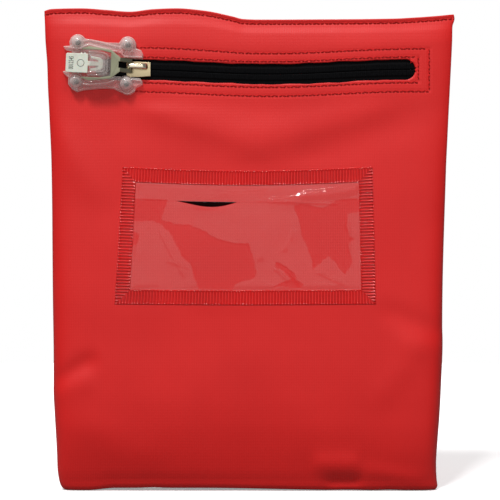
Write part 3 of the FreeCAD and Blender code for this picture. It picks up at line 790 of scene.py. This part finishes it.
def make_stitches():
    for name, (low, high) in zip(("zip_stitch_inner", "zip_stitch_outer"), STITCH_BOXES):
        left, right = low.x - 12 * MM, high.x - THREAD_HALF
        top, bottom = high.z - THREAD_HALF, low.z + THREAD_HALF
        corners = [(left, top), (right, top), (right, bottom), (left, bottom)]
        stitch_line(f"{name}_thread", corners, on_front, 2.45 * MM, name)
    edge = TOP_Z - SEAM_BAND
    line = [(-left_edge(edge) + 1.5 * MM, edge), (right_edge(edge) - 1.5 * MM, edge)]
    stitch_line("top_stitch_front", line, on_front, 2.6 * MM, "top_edge_stitch")

    def on_back(x, z, out):
        y = back_depth(z) * side_share(across(x, z), z)
        return np.stack([x, y + out, z + lift(x, z)], axis=-1)

    stitch_line("top_stitch_back", line, on_back, 2.6 * MM)


# ---------------------------------------------------------------- zip
def make_zip_half(word, side):
    """One tape with its ribbed coil ridge along the middle of the zip, and the coil behind it."""
    step = 0.27 * MM
    x = np.arange(SLIT_START - 8 * MM, SLIT_END + 4 * MM, step)
    outs = np.array([0.02, 0.25, 0.5, 0.8, 1.3, 2.0, 2.7, 3.3, 3.8, 4.1, 4.5, 5.5, 7.0, 10.0, 14.6]) * MM
    centre = ZIP_Z + zip_dip(x)
    points = []
    for out in outs:
        ridge_share = ease(out, 0.0, 0.6 * MM) * (1 - ease(out, 3.6 * MM, 4.4 * MM))
        rib = 0.5 + 0.5 * np.sin(2 * math.pi * x / COIL_PITCH)
        raised = ridge_share * (0.35 + 0.22 * rib) * MM
        sink = CLOTH + 0.25 * MM
        y = front_y(x, np.full_like(x, ZIP_Z)) + sink - raised
        points.append(np.stack([x, y, centre + side * out], axis=-1))
    points = np.array(points)
    rows, columns = points.shape[:2]
    faces = grid(rows, columns)
    if side < 0:
        faces = [f[::-1] for f in faces]
    border = SLIT_END - 6.0 * MM
    column_of = int(np.searchsorted(x, border))
    flat = points.reshape(-1, 3)
    moving = [f for f in faces if max(i % columns for i in f) <= column_of]
    still = [f for f in faces if max(i % columns for i in f) > column_of]
    made = []
    for name, chosen in ((f"zip_tape_{word}_run", moving), (f"zip_tape_{word}_end", still)):
        used = sorted({i for f in chosen for i in f})
        where = {i: k for k, i in enumerate(used)}
        renumbered = [tuple(where[i] for i in f) for f in chosen]
        piece = new_piece(name, flat[used], renumbered, MATERIALS["zip_tape"])
        thicken(piece, 0.55 * MM, -1)
        applied(piece)
        made.append(piece)
    finish_piece(made[0], "bag", "zip_tape", f"zip_tape_{word}")
    finish_piece(made[1], "bag", "zip_tape")
    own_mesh(made[0])
    make_coil(word, side, border)


def make_coil(word, side, border):
    """A nylon spiral along the tape's edge, behind the tape."""
    per_turn, ring = 10, 5
    deep, tall = 0.42 * MM, 1.25 * MM
    low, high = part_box(f"zip_coil_{word}")
    middle_y = (low.y + high.y) / 2
    count = int((border - low.x) / COIL_PITCH * per_turn)
    points = []
    for k in range(count):
        turn = 2 * math.pi * k / per_turn
        c, s = math.cos(turn), math.sin(turn)
        x = low.x + k * COIL_PITCH / per_turn
        z = ZIP_Z + zip_dip(x) + side * (1.75 * MM + tall * s)
        centre = Vector((x, middle_y - deep * c, z))
        ahead = Vector((COIL_PITCH / (2 * math.pi), deep * s, side * tall * c)).normalized()
        first = ahead.cross(Vector((0, 0, 1))).normalized()
        second = ahead.cross(first)
        for j in range(ring):
            a = 2 * math.pi * j / ring
            points.append(centre + 0.24 * MM * (first * math.cos(a) + second * math.sin(a)))
    faces = grid(count, ring, closed=True)
    piece = new_piece(f"zip_coil_{word}_spiral", points, faces, MATERIALS["zip_coil"])
    finish_piece(piece, "bag", "zip_coil", f"zip_coil_{word}")
    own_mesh(piece)


# ---------------------------------------------------------------- window
def window_point(u, v, out):
    """A point of the window: u and v from 0 to 1 across and up its outer outline, which narrows upwards."""
    z = border_low.z + v * TALL
    left = border_low.x - 0.3 * MM + 4.7 * MM * v
    right = border_high.x - 1.2 * MM - 1.9 * MM * v
    bow = (2.7 * v + 0.5 * (1 - v)) * MM * np.sin(math.pi * u)
    return on_front(left + (right - left) * u, z - bow, out)


def inset(u, v, share):
    """A corner of the window's outline, moved in by a share of the border's width."""
    across = BORDER / WIDE * share
    up = BORDER / TALL * share
    return (u + (across if u == 0 else -across), v + (up if v == 0 else -up))


def weld_height(along, share):
    """Height of the weld's ribs, and of the beads at their ends, above the cloth."""
    if share == 0:
        return np.full_like(along, -0.2 * MM)
    rib = np.sin(2 * math.pi * along / RIB_PITCH)
    outer_bead = ease(share, 0.0, 0.06) * (1 - ease(share, 0.1, 0.2))
    inner_bead = ease(share, 0.84, 0.92) * (1 - ease(share, 0.95, 1.0))
    bead = np.maximum(rib, 0) * (outer_bead + inner_bead)
    middle = ease(share, 0.03, 0.14) * (1 - ease(share, 0.86, 0.97))
    step = (1 - middle) * 0.16 * (share < 1)
    return (0.16 + middle * 0.34 * np.clip(1.4 * rib, -1, 1) + step + 0.3 * bead) * MM


def make_weld_border():
    """The welded edge of the window: ribs across its width, mitred at the corners."""
    shares = np.concatenate([[0, 0.02, 0.05], np.linspace(0.09, 0.91, 26), [0.95, 0.98, 1.0]])
    corners = [(0, 0), (1, 0), (1, 1), (0, 1)]
    points, faces = [], []
    for (u0, v0), (u1, v1) in zip(corners, corners[1:] + corners[:1]):
        length = WIDE if v0 == v1 else TALL
        count = int(length / (0.3 * MM))
        t = np.linspace(0, 1, count)
        start = len(points)
        for share in shares:
            (mu0, mv0), (mu1, mv1) = inset(u0, v0, share), inset(u1, v1, share)
            u, v = mu0 + (mu1 - mu0) * t, mv0 + (mv1 - mv0) * t
            along = (u if v0 == v1 else v) * length
            points.extend(window_point(u, v, weld_height(along, share)))
        faces += grid(len(shares), count, start)
    piece = new_piece("window_weld", points, faces, MATERIALS["weld_border"])
    thicken(piece, 0.25 * MM, -1)
    finish_piece(piece, "bag", "weld_border", "window_weld_border")


# Where the film clings to the cloth, as outlines in millimetres across and up the bag.
CLINGS = [
    [(-75, 189.5), (-52, 189), (-54.5, 183.5), (-56, 178), (-56, 175), (-44, 172.5), (-39, 173), (-35, 171.5),
     (-26, 167), (-21, 164), (-10, 161), (0, 160.5), (3, 153.5), (5, 142), (4, 138), (-2, 136.5), (-8, 134.5),
     (-10, 131), (-32, 131), (-35, 140.5), (-37.5, 147), (-44, 155), (-47, 161.5), (-52, 169.5), (-57.5, 174),
     (-62.5, 176), (-68, 174.5), (-75, 175)],
    [(-75, 170), (-70.5, 166), (-72, 161.5), (-75, 158.5)],
    [(30, 185), (34, 186), (47, 183.5), (52, 184.5), (57, 188.5), (73, 191), (73, 181.5), (69, 180.5),
     (64.5, 179.5), (63.5, 171.5), (66, 165.5), (69, 163.5), (65.5, 161), (65.5, 153.5), (67.5, 148),
     (62.5, 140.5), (57.5, 147), (52.5, 152.5), (48.5, 150.5), (42.5, 143.5), (41, 150), (36.5, 162.5),
     (33.5, 170.5), (32.5, 178), (30, 182.5)],
    [(18, 148), (24.5, 146), (29.5, 141.5), (30.5, 137), (36, 134), (34, 131.5), (23, 133), (15, 132.5),
     (23, 135.5), (28, 137), (24, 142), (21, 144.5), (17.5, 145)],
]
# The card slit: its ends in millimetres across the bag, and its height as a share of the film's.
SLIT_ENDS = (-47, -7)
SLIT_V = 0.842


def clinging(x, z):
    """1 inside the clinging outlines and 0 outside, with a soft edge."""
    x = x / MM + 0.5 * waves(x, z, 0.013, 31) + 0.2 * waves(x, z, 0.004, 32)
    z = z / MM + 0.5 * waves(x * MM, z, 0.012, 33) + 0.2 * waves(x * MM, z, 0.004, 34)
    total = np.zeros_like(x)
    for outline in CLINGS:
        inside = np.zeros(x.shape, bool)
        near = np.full(x.shape, 1e9)
        for (x0, z0), (x1, z1) in zip(outline, outline[1:] + outline[:1]):
            crosses = (z0 > z) != (z1 > z)
            where = x0 + (z - z0) * (x1 - x0) / (z1 - z0 if z1 != z0 else 1)
            inside ^= crosses & (x < where)
            run = (x1 - x0) ** 2 + (z1 - z0) ** 2
            t = np.clip(((x - x0) * (x1 - x0) + (z - z0) * (z1 - z0)) / run, 0, 1)
            near = np.minimum(near, np.hypot(x - x0 - t * (x1 - x0), z - z0 - t * (z1 - z0)))
        signed = np.where(inside, near, -near)
        total = np.maximum(total, ease(signed, -0.35, 0.35))
    return total


def slit_gape(x):
    """How far the card slit hangs open, 0 to 1."""
    t = np.clip((x / MM - SLIT_ENDS[0]) / (SLIT_ENDS[1] - SLIT_ENDS[0]), 0, 1)
    return np.sin(math.pi * t**1.25)


# Where the film bends over and mirrors the lamp: start and end in shares of its size, then its
# width, and the slope of the bend.
STREAKS = [
    ((0.72, 0.94), (1.00, 0.99), 3.4, 0.42),
    ((0.56, 0.885), (0.77, 0.925), 3.0, 0.40),
    ((0.30, 0.965), (0.60, 0.955), 1.2, 0.35),
]


def streak(u, v, start, end, width, slope):
    """A bend in the film along a line: it rises out of the cloth's plane and sinks back more slowly."""
    along = (u - start[0]) / (end[0] - start[0])
    line = start[1] + (end[1] - start[1]) * along - 0.02 * np.sin(math.pi * np.clip(along, 0, 1))
    below = (line - v) * 70
    rise = ease(below, -width / 2, width / 2)
    sink = np.exp(-((np.maximum(below - width / 2, 0) / 5) ** 2))
    ends = ease(along, 0, 0.25) * (1 - ease(along, 0.9, 1.1))
    return slope * width * MM * rise * sink * ends


# Creases in the film: start and end in shares of its width and height, then width and height.
CREASES = [
    ((0.10, 0.62), (0.24, 0.10), 0.012, 0.5), ((0.14, 0.28), (0.26, 0.20), 0.010, 0.4),
    ((0.58, 0.62), (0.56, 0.25), 0.020, 0.5), ((0.72, 0.60), (0.66, 0.35), 0.012, 0.4),
    ((0.62, 0.22), (0.70, 0.06), 0.008, 0.6), ((0.66, 0.20), (0.74, 0.02), 0.006, 0.5),
    ((0.80, 0.18), (0.93, 0.04), 0.010, 0.5), ((0.95, 0.70), (0.95, 0.30), 0.010, 0.5),
    ((0.50, 0.86), (0.95, 0.80), 0.012, 0.4),
]


def crease(u, v, start, end, width, height):
    """A soft crease along a line, fading at both ends."""
    (u0, v0), (u1, v1) = start, end
    run = math.hypot(u1 - u0, v1 - v0)
    along = ((u - u0) * (u1 - u0) + (v - v0) * (v1 - v0)) / run**2
    off = ((v - v0) * (u1 - u0) - (u - u0) * (v1 - v0)) / run
    ends = ease(along, 0, 0.2) * (1 - ease(along, 0.8, 1))
    return height * MM * np.exp(-((off / width) ** 2)) * ends


def make_window_film():
    """The clear film with its card slit, which hangs slightly open."""
    columns, rows = 340, 170
    u, v = np.meshgrid(np.linspace(0, 1, columns), np.linspace(0, 1, rows))
    slit_row = int(round(SLIT_V * (rows - 1)))
    flat_u = BORDER / WIDE + u * (1 - 2 * BORDER / WIDE)
    flat_v = BORDER / TALL + v * (1 - 2 * BORDER / TALL)
    place = window_point(flat_u, flat_v, 0.0)
    x, z = place[:, :, 0], place[:, :, 2]
    loose = 1 - clinging(x, z)
    # The strip above the slit stands off fully, and its veil of painted reflection is set a little stronger there.
    loose = np.maximum(loose, ease(v, SLIT_V, SLIT_V + 0.006) * 1.1)
    loose = loose * (1 + 0.10 * waves(u, v, 0.35, 42))
    puff = 0.30 * MM * waves(u, v, 0.5, 41) + 0.10 * MM * waves(u, v, 0.16, 43)
    puff = puff + 0.5 * MM * np.sin(math.pi * u) * np.sin(math.pi * v)
    free = ease(np.minimum.reduce([u * 2.1, (1 - u) * 2.1, v, 1 - v]), 0.0, 0.05)
    curl = sum(streak(u, v, *row) for row in STREAKS)
    creases = sum(crease(u, v, *row) for row in CREASES)
    raised = 0.30 * MM * np.clip(loose, 0, 1) + np.maximum(puff, -0.1 * MM) + creases
    out = 0.22 * MM + free * raised + curl
    below = np.arange(rows)[:, None] < slit_row
    gape = slit_gape(x)
    out = out + 1.2 * MM * gape * np.where(below, np.exp(-(((SLIT_V - v) / 0.10) ** 2)), 0)
    drop = 3.2 * MM * gape * np.where(below, np.exp(-(((SLIT_V - v) / 0.07) ** 2)), 0)
    points = window_point(flat_u, flat_v - drop / TALL, out)
    upper = points[slit_row - 1 :].reshape(-1, 3).copy()
    upper[:columns] = window_point(flat_u[slit_row], flat_v[slit_row] - 0.003, out[slit_row])
    all_points = np.concatenate([points[:slit_row].reshape(-1, 3), upper])
    shown = np.concatenate([loose[:slit_row].ravel(), loose[slit_row - 1 :].ravel()])
    faces = grid(slit_row, columns) + grid(rows - slit_row + 1, columns, slit_row * columns)
    piece = new_piece("window_clear_film", all_points, faces, MATERIALS["clear_film"])
    attribute = piece.data.attributes.new("standoff", "FLOAT", "POINT")
    attribute.data.foreach_set("value", shown.astype(np.float32))
    finish_piece(piece, "bag", "clear_film", "window_film")
    make_slit_shade(flat_v[slit_row, 0])


def make_slit_shade(height):
    """A near-black sheet behind the card slit: painted shade standing in for the shadowed inside of the pocket."""
    count = 60
    x = np.linspace(SLIT_ENDS[0], SLIT_ENDS[1], count) * MM
    u = (x - border_low.x) / WIDE
    z0 = window_point(u, np.full_like(u, height), 0.0)[:, 2] + 0.1 * MM - lift(x, 0.19)
    rows = [on_front(x, z0 - share * 3.4 * MM * slit_gape(x), 0.12 * MM) for share in (0, 0.5, 1)]
    piece = new_piece("card_slit_painted_shade", np.concatenate(rows), grid(3, count), MATERIALS["painted_slit_shade"])
    finish_piece(piece, "bag", "clear_film")


# ---------------------------------------------------------------- lock
# Outlines of the lock in millimetres, along and up from the pivot. A ridge has a path, a width and
# how far out it stands.
CAPS = [(-2.6, 14.3), (-2.6, -11.1), (-35.0, 14.3), (-35.0, -11.1)]
UPPER_BASE = [
    (7.4, 5.1), (7.8, 7.9), (6.3, 10.9), (3.0, 12.0), (2.8, 15.5), (0.8, 18.4), (-2.6, 19.6),
    (-6.2, 18.4), (-8.4, 15.0), (-16, 14.9), (-27, 16.6), (-30.4, 17.0), (-33, 19.2), (-36.5, 19.4),
    (-39.6, 17.4), (-40.6, 14.5), (-40.2, 11.8), (-43.6, 11.6), (-44.0, 10.4), (-42.6, 8.9),
    (-39.5, 8.4), (-14, 7.0), (-4.8, 5.1),
]
UPPER_RAIL = [
    (-31.6, 15.4), (-27.0, 16.2), (-16.1, 14.0), (-10.6, 12.5), (-6.5, 12.4), (-4.4, 8.2), (-8.6, 8.0),
    (-12.6, 9.4), (-27.4, 11.8), (-33.0, 9.4),
]
UPPER_EAR = [(7.2, 5.3), (7.5, 7.9), (6.0, 10.6), (2.6, 11.4), (-4.6, 9.0), (-4.6, 5.4)]
UPPER_HORN = [(-44.0, 11.0), (-42.6, 9.2), (-34, 8.8), (-33, 11.0), (-40, 11.6)]
UPPER_RIDGES = [([(-33.0, 9.6), (-27.4, 12.3), (-13.0, 9.0), (-9.6, 8.8)], 1.2, 5.9),
                ([(-31.0, 14.7), (-27.0, 15.5), (-16.1, 13.3), (-9.0, 12.0)], 1.2, 5.3),
                ([(7.0, 5.8), (-4.2, 5.8), (-6.6, 8.4)], 1.1, 4.8),
                ([(-43.2, 10.6), (-35.0, 9.6)], 1.0, 4.6),
                ([(-27.0, 16.2), (-16.0, 14.5), (-8.4, 14.6)], 0.8, 2.5)]
LOWER_BASE = [
    (6.5, -7.3), (8.0, -9.4), (8.1, -11.6), (3.9, -13.9), (3.4, -16.2), (0.6, -18.3), (-2.4, -18.6),
    (-6.4, -16.8), (-10.4, -15.1), (-14.8, -14.9), (-22.3, -15.6), (-29.9, -16.7), (-34.1, -18.0),
    (-37.4, -16.4), (-40.2, -13.2), (-40.4, -8.6), (-43.4, -6.2), (-44.0, -4.9), (-42.8, -4.4),
    (-39.5, -5.6), (-14, -6.4), (-5.0, -6.9),
]
LOWER_RAIL = [
    (-31.0, -13.4), (-26.5, -14.4), (-16.0, -13.6), (-9.6, -11.8), (-4.8, -9.2), (-4.6, -7.2),
    (-8.0, -7.0), (-12.2, -8.1), (-20, -10.2), (-26.4, -10.9), (-32.5, -8.8),
]
LOWER_EAR = [(6.3, -7.5), (7.7, -9.5), (7.7, -11.4), (3.4, -13.4), (-3, -8.6), (-3.6, -7.1)]
LOWER_HORN = [(-43.6, -5.2), (-41.2, -4.8), (-34.7, -5.8), (-33, -8.4), (-38, -8.6), (-40.2, -8.8)]
LOWER_RIDGES = [([(-31.5, -9.6), (-26.4, -11.4), (-19.9, -10.8), (-11.9, -8.8), (-6.4, -7.6)], 1.0, 5.9),
                ([(-29.5, -13.2), (-22.5, -13.2), (-13.6, -11.6), (-7.5, -9.4)], 1.1, 5.3),
                ([(0.8, -9.0), (6.4, -9.4)], 0.9, 4.5),
                ([(-42.6, -5.6), (-36.0, -7.2)], 0.9, 4.4),
                ([(-36.6, -15.8), (-34.1, -17.2), (-29.9, -16.0), (-22.3, -14.9), (-14.8, -14.2),
                  (-10.4, -14.5), (-6.2, -16.2), (-2.4, -17.9), (0.6, -17.5), (3.0, -15.4)], 0.9, 2.7)]


def make_housing():
    """The clear housing: a thin base, two ridged rails, ears beside the slider and horns beside the seal."""
    solids = [prism([(-13, 8.0), (-13, -7.0), (-38.6, -7.0), (-38.6, 9.0)], 0.05, 1.4)]
    upper = (UPPER_BASE, UPPER_RAIL, UPPER_EAR, UPPER_HORN, UPPER_RIDGES)
    lower = (LOWER_BASE, LOWER_RAIL, LOWER_EAR, LOWER_HORN, LOWER_RIDGES)
    for base, rail, ear, horn, ridges in (upper, lower):
        solids.append(prism(base, 0.05, 1.4))
        for outline, out in ((rail, 4.5), (ear, 3.3), (horn, 3.6)):
            solids.append(prism(outline, 0.6, out))
        for path, width, out in ridges:
            solids += wall(path, width, 0.6, out)
    solids.append(turned(0.7, 9.2, [(0.01, 0.5), (0.9, 0.5), (0.9, 4.6), (0.5, 5.2), (0.01, 5.3)], 16))
    for u, v in CAPS:
        boss = [(0.01, 0.05), (5.3, 0.05), (5.3, 1.6), (4.9, 2.6), (4.6, 3.0), (0.01, 3.0)]
        solids.append(turned(u, v, boss))
    piece = moulded("lock_housing_clear", solids, 0.26, MATERIALS["clear_plastic"])
    finish_piece(piece, "bag", "clear_plastic", "lock_housing")


def make_caps():
    """Four domed caps over the rivets."""
    points, faces = [], []
    dome = [(4.2 * math.cos(a), 3.6 + 4.2 * math.sin(a)) for a in np.linspace(0, math.pi / 2, 12)]
    for u, v in CAPS:
        outside = [(3.0, 2.3), (4.25, 2.3), (4.3, 3.0), *dome[:-1], (0.02, 7.8)]
        inside = [(0.02, 5.4), (1.6, 5.2), (2.6, 4.4), (2.9, 3.4), (3.0, 2.3)]
        start = len(points)
        ring = 36
        for radius, out in outside + inside:
            points += [lock_point(a, b, out) for a, b in round_outline(u, v, radius, ring)]
        faces += grid(len(outside + inside), ring, start, closed=True)
    piece = new_piece("rivet_caps_clear", points, faces, MATERIALS["cap_plastic"])
    finish_piece(piece, "bag", "clear_plastic", "rivet_caps")


def make_rivets():
    """The four rivet heads, seen through their caps."""
    points, faces = [], []
    for u, v in CAPS:
        head = [(0.01, 1.5), (1.8, 1.5), (1.8, 4.4), (1.3, 4.9), (0.01, 5.0)]
        start = len(points)
        more, rounds = turned(u + 0.5, v - 0.6, head, 20)
        points += more
        faces += [tuple(start + i for i in f) for f in rounds]
    piece = new_piece("rivet_heads", points, faces, MATERIALS["rivet_steel"])
    finish_piece(piece, "bag", "rivet_steel", "rivets")


def make_keeper():
    """The clear box that the seal's arrow goes into: a rim of thin walls, a roof and a rounded nose."""
    half = [(-26.4, 7.5), (-17.6, 7.0), (-15.2, 6.2), (-14.3, 4.8)]
    outline = half + [(u, -v) for u, v in half[::-1]]
    inner_half = [(-25.9, 6.2), (-17.8, 5.8), (-16.2, 5.2), (-15.6, 4.2)]
    inner = inner_half + [(u, -v) for u, v in inner_half[::-1]]
    solids = wall(outline, 1.2, 1.3, 9.5)
    solids.append(prism(inner, 9.45, 10.2))
    for side in (1, -1):
        solids += wall([(-26.2, 5.9 * side), (-17.4, 5.4 * side)], 0.8, 9.0, 10.5)
    piece = moulded("seal_keeper_clear", solids, 0.2, MATERIALS["keeper_plastic"])
    finish_piece(piece, "bag", "clear_plastic", "seal_keeper")


def make_seal():
    """The one-use seal: a printed tab, a shank and an arrow with two sprung barbs."""
    tab = [(-27.0, 6.2), (-40.3, 6.2), (-40.9, 5.9), (-41.2, 5.3)]
    solids = [prism(tab + [(u, -v) for u, v in tab[::-1]], 7.0, 8.9)]
    shank = [(-28, -1.5), (-19.5, -1.3), (-17.4, -0.9), (-17.4, 0.9), (-19.5, 1.3), (-28, 1.5)]
    solids.append(prism(shank, 7.1, 8.8))
    for side in (1, -1):
        barb = [
            (-17.3, 0.2), (-17.4, 2.6), (-19.4, 4.0), (-25.2, 4.9), (-25.2, 3.3), (-21.0, 2.5), (-19.4, 1.0),
        ]
        solids.append(prism([(u, v * side) for u, v in barb], 7.1, 8.8))
    for u in (-29.2, -31.4):
        solids.append(prism([(u - 0.6, 6.0), (u + 0.6, 6.0), (u + 0.4, 6.9), (u - 0.4, 6.9)], 7.4, 8.5))
    piece = moulded("seal_moulding", solids, 0.16, MATERIALS["seal_white"])
    finish_piece(piece, "seal", "seal_white", "seal")
    make_print()


def make_print():
    """A plain running number and a ring, printed on the seal's tab."""
    text = bpy.data.curves.new("number", "FONT")
    text.body = "0012345"
    text.size = 4.3 * MM
    text.extrude = 0.03 * MM
    text.align_x = "CENTER"
    text.align_y = "CENTER"
    holder = add_object("number", text)
    bpy.context.view_layer.update()
    mesh = bpy.data.meshes.new_from_object(holder)
    bpy.data.objects.remove(holder)
    upright = Matrix.Rotation(math.radians(-90), 4, "Y") @ Matrix.Rotation(math.radians(90), 4, "X")
    turn = Matrix.Rotation(TILT, 4, "Y") @ upright
    narrow = Matrix.Diagonal((0.56, 1, 1, 1))
    mesh.transform(Matrix.Translation(lock_point(-37.6, 0, 8.93)) @ turn @ narrow)
    mesh.materials.append(MATERIALS["ink"])
    number = add_object("seal_number", mesh)
    finish_piece(number, "seal", "seal_white")
    points = []
    count = 48
    for radius, out in ((2.35, 8.88), (2.35, 8.96), (2.05, 8.96), (2.05, 8.88)):
        points += [lock_point(a, b, out) for a, b in round_outline(-31.6, 0, radius, count)]
    ring = new_piece("seal_ring", points, grid(4, count, closed=True), MATERIALS["ink"])
    finish_piece(ring, "seal", "seal_white")


# The slider's arch: places across the bag, out from the cloth, and half widths, in millimetres.
ARCH = [
    (-78.2, 0.5, 1.2), (-78.25, 2.2, 1.2), (-78.15, 3.7, 1.25), (-77.4, 4.9, 1.3), (-75.6, 5.2, 1.3),
    (-73.8, 5.3, 1.3), (-71.6, 5.3, 1.5), (-69.2, 5.2, 1.55), (-67.2, 4.6, 1.7), (-66.0, 3.5, 1.9),
    (-65.6, 2.2, 1.9), (-65.6, 0.5, 1.8),
]
ARCH_HALF_DEPTH = 0.75


def make_bridge():
    """The slider's arch, a rounded bar that widens away from the pull."""
    spline = bpy.data.curves.new("arch", "CURVE")
    spline.dimensions = "3D"
    line = spline.splines.new("NURBS")
    line.points.add(len(ARCH) - 1)
    for point, (x, out, half) in zip(line.points, ARCH):
        point.co = (x, out, half, 1)
    line.order_u = 3
    line.use_endpoint_u = True
    line.resolution_u = 6
    holder = bpy.data.objects.new("arch", spline)
    mesh = bpy.data.meshes.new_from_object(holder)
    centres = [tuple(v.co) for v in mesh.vertices]
    bpy.data.objects.remove(holder)
    points = []
    ring = 20
    for k, (x, out, half) in enumerate(centres):
        x0, out0, _ = centres[max(k - 1, 0)]
        x1, out1, _ = centres[min(k + 1, len(centres) - 1)]
        run = math.hypot(x1 - x0, out1 - out0)
        nx, no = -(out1 - out0) / run, (x1 - x0) / run
        for j in range(ring):
            a = 2 * math.pi * j / ring
            side = half * math.copysign(abs(math.cos(a)) ** 0.7, math.cos(a))
            deep = ARCH_HALF_DEPTH * math.copysign(abs(math.sin(a)) ** 0.8, math.sin(a))
            points.append(((x + nx * deep) * MM, FRONT_Y - (out + no * deep) * MM, PIVOT.z + side * MM))
    faces = grid(len(centres), ring, closed=True)
    faces.append(tuple(range(ring))[::-1])
    faces.append(tuple(range((len(centres) - 1) * ring, len(centres) * ring)))
    piece = new_piece("slider_arch", points, faces, MATERIALS["slider_nickel"])
    finish_piece(piece, "slider", "slider_nickel", "slider_bridge")


def make_metal_parts():
    make_bridge()
    # The casting takes the darker copy of the nickel: painted shade.
    casting = bevelled("slider_casting", "slider_body", 0.45, MATERIALS["slider_plate"])
    finish_piece(casting, "slider", "slider_nickel", "slider_body")
    plate = bevelled("puller_plate", "puller", 0.28, MATERIALS["puller_steel"])
    finish_piece(plate, "puller", "puller_steel", "puller")


def finish_cad_nodes():
    """Materials for the CAD nodes that still show."""
    slots = {row["node"]: row["material_slot"] for row in frame["record"]["subparts"]}
    for name, node in frame["nodes"].items():
        if not node.hide_render:
            node.data.materials.clear()
            node.data.materials.append(MATERIALS[slots[name]])


# ---------------------------------------------------------------- stage and lights
def make_world():
    """A white studio: full white behind the bag, and a softer white light from all round on it."""
    world = bpy.data.worlds.new("studio")
    bpy.context.scene.world = world
    world.use_nodes = True
    tree = world.node_tree
    light = tree.nodes["Background"]
    light.inputs["Color"].default_value = (1, 1, 1, 1)
    light.inputs["Strength"].default_value = 0.18
    seen = tree.nodes.new("ShaderNodeBackground")
    seen.inputs["Color"].default_value = (1, 1, 1, 1)
    ray = tree.nodes.new("ShaderNodeLightPath")
    pick = tree.nodes.new("ShaderNodeMixShader")
    tree.links.new(ray.outputs["Is Camera Ray"], pick.inputs[0])
    tree.links.new(light.outputs[0], pick.inputs[1])
    tree.links.new(seen.outputs[0], pick.inputs[2])
    tree.links.new(pick.outputs[0], tree.nodes["World Output"].inputs["Surface"])


def make_stage():
    m = Nodes("floor")
    m.colour(m.noise(3, 2), (0.22, 0.22, 0.22), (0.25, 0.25, 0.25))
    m.set(Roughness=0.9, Specular_IOR_Level=0.1)
    seen = m.add("ShaderNodeBsdfDiffuse")
    seen.inputs["Color"].default_value = (0.96, 0.96, 0.96, 1)
    glow = m.add("ShaderNodeEmission")
    glow.inputs["Strength"].default_value = 0.30
    both = m.add("ShaderNodeAddShader")
    pick = m.add("ShaderNodeMixShader")
    m.link(seen.outputs[0], both.inputs[0])
    m.link(glow.outputs[0], both.inputs[1])
    m.link(m.add("ShaderNodeLightPath").outputs["Is Camera Ray"], pick.inputs[0])
    m.link(m.shader.outputs[0], pick.inputs[1])
    m.link(both.outputs[0], pick.inputs[2])
    m.link(pick.outputs[0], m.tree.nodes["Material Output"].inputs["Surface"])
    count = 64
    ring = [(math.cos(2 * math.pi * k / count), math.sin(2 * math.pi * k / count), 0) for k in range(count)]
    floor = new_piece("floor", ring, [tuple(range(count))], m.material, smooth=False)
    make_world()
    bpy.context.scene.view_settings.view_transform = "Standard"
    bpy.context.scene.view_settings.look = "None"


def lamp(name, place, target, size, power):
    data = bpy.data.lights.new(name, "AREA")
    data.shape = "RECTANGLE"
    data.size, data.size_y = size
    data.energy = power
    light = add_object(name, data)
    light.location = place
    light.rotation_mode = "QUATERNION"
    light.rotation_quaternion = (Vector(target) - Vector(place)).to_track_quat("-Z", "Y")


def make_lights():
    lamp("key_above", (-1.40, -3.0, 5.40), (0, 0, 0.2), (1.15, 1.0), 290)
    lamp("glint", (0.2, -1.0, 1.6), (0.05, 0, 0.2), (0.36, 0.09), 4.2)
    lamp("front_fill", (0.1, -2.2, 0.2), (0, 0, 0.08), (2.4, 1.4), 9)
    lamp("sky_card", (0.0, -0.95, 0.62), (0, 0, 0.30), (0.9, 0.22), 0.7)
    lamp("back_fill", (0.3, 1.5, 1.2), (0, 0, 0.16), (1.2, 1.0), 14)


CAMERA_DISTANCE = 0.85
CAMERA_SHIFT = (0.0013, 0.0009)
FIELD = 0.3234


def make_camera():
    data = bpy.data.cameras.new("camera")
    camera = add_object("camera", data)
    face_y = (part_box("front_panel")[0].y + FRONT_Y) / 2
    camera.location = (CAMERA_SHIFT[0], face_y - CAMERA_DISTANCE, TOP_Z / 2 + CAMERA_SHIFT[1])
    camera.rotation_euler = (math.pi / 2, 0, 0)
    data.sensor_width = 36
    data.lens = data.sensor_width * CAMERA_DISTANCE / FIELD
    bpy.context.scene.camera = camera


make_camera()
make_stage()
make_lights()
make_front_cloth()
make_back_cloth()
make_top_tape()
make_stitches()
make_zip_half("upper", 1)
make_zip_half("lower", -1)
make_weld_border()
make_window_film()
make_housing()
make_caps()
make_rivets()
make_keeper()
make_seal()
make_metal_parts()
finish_cad_nodes()
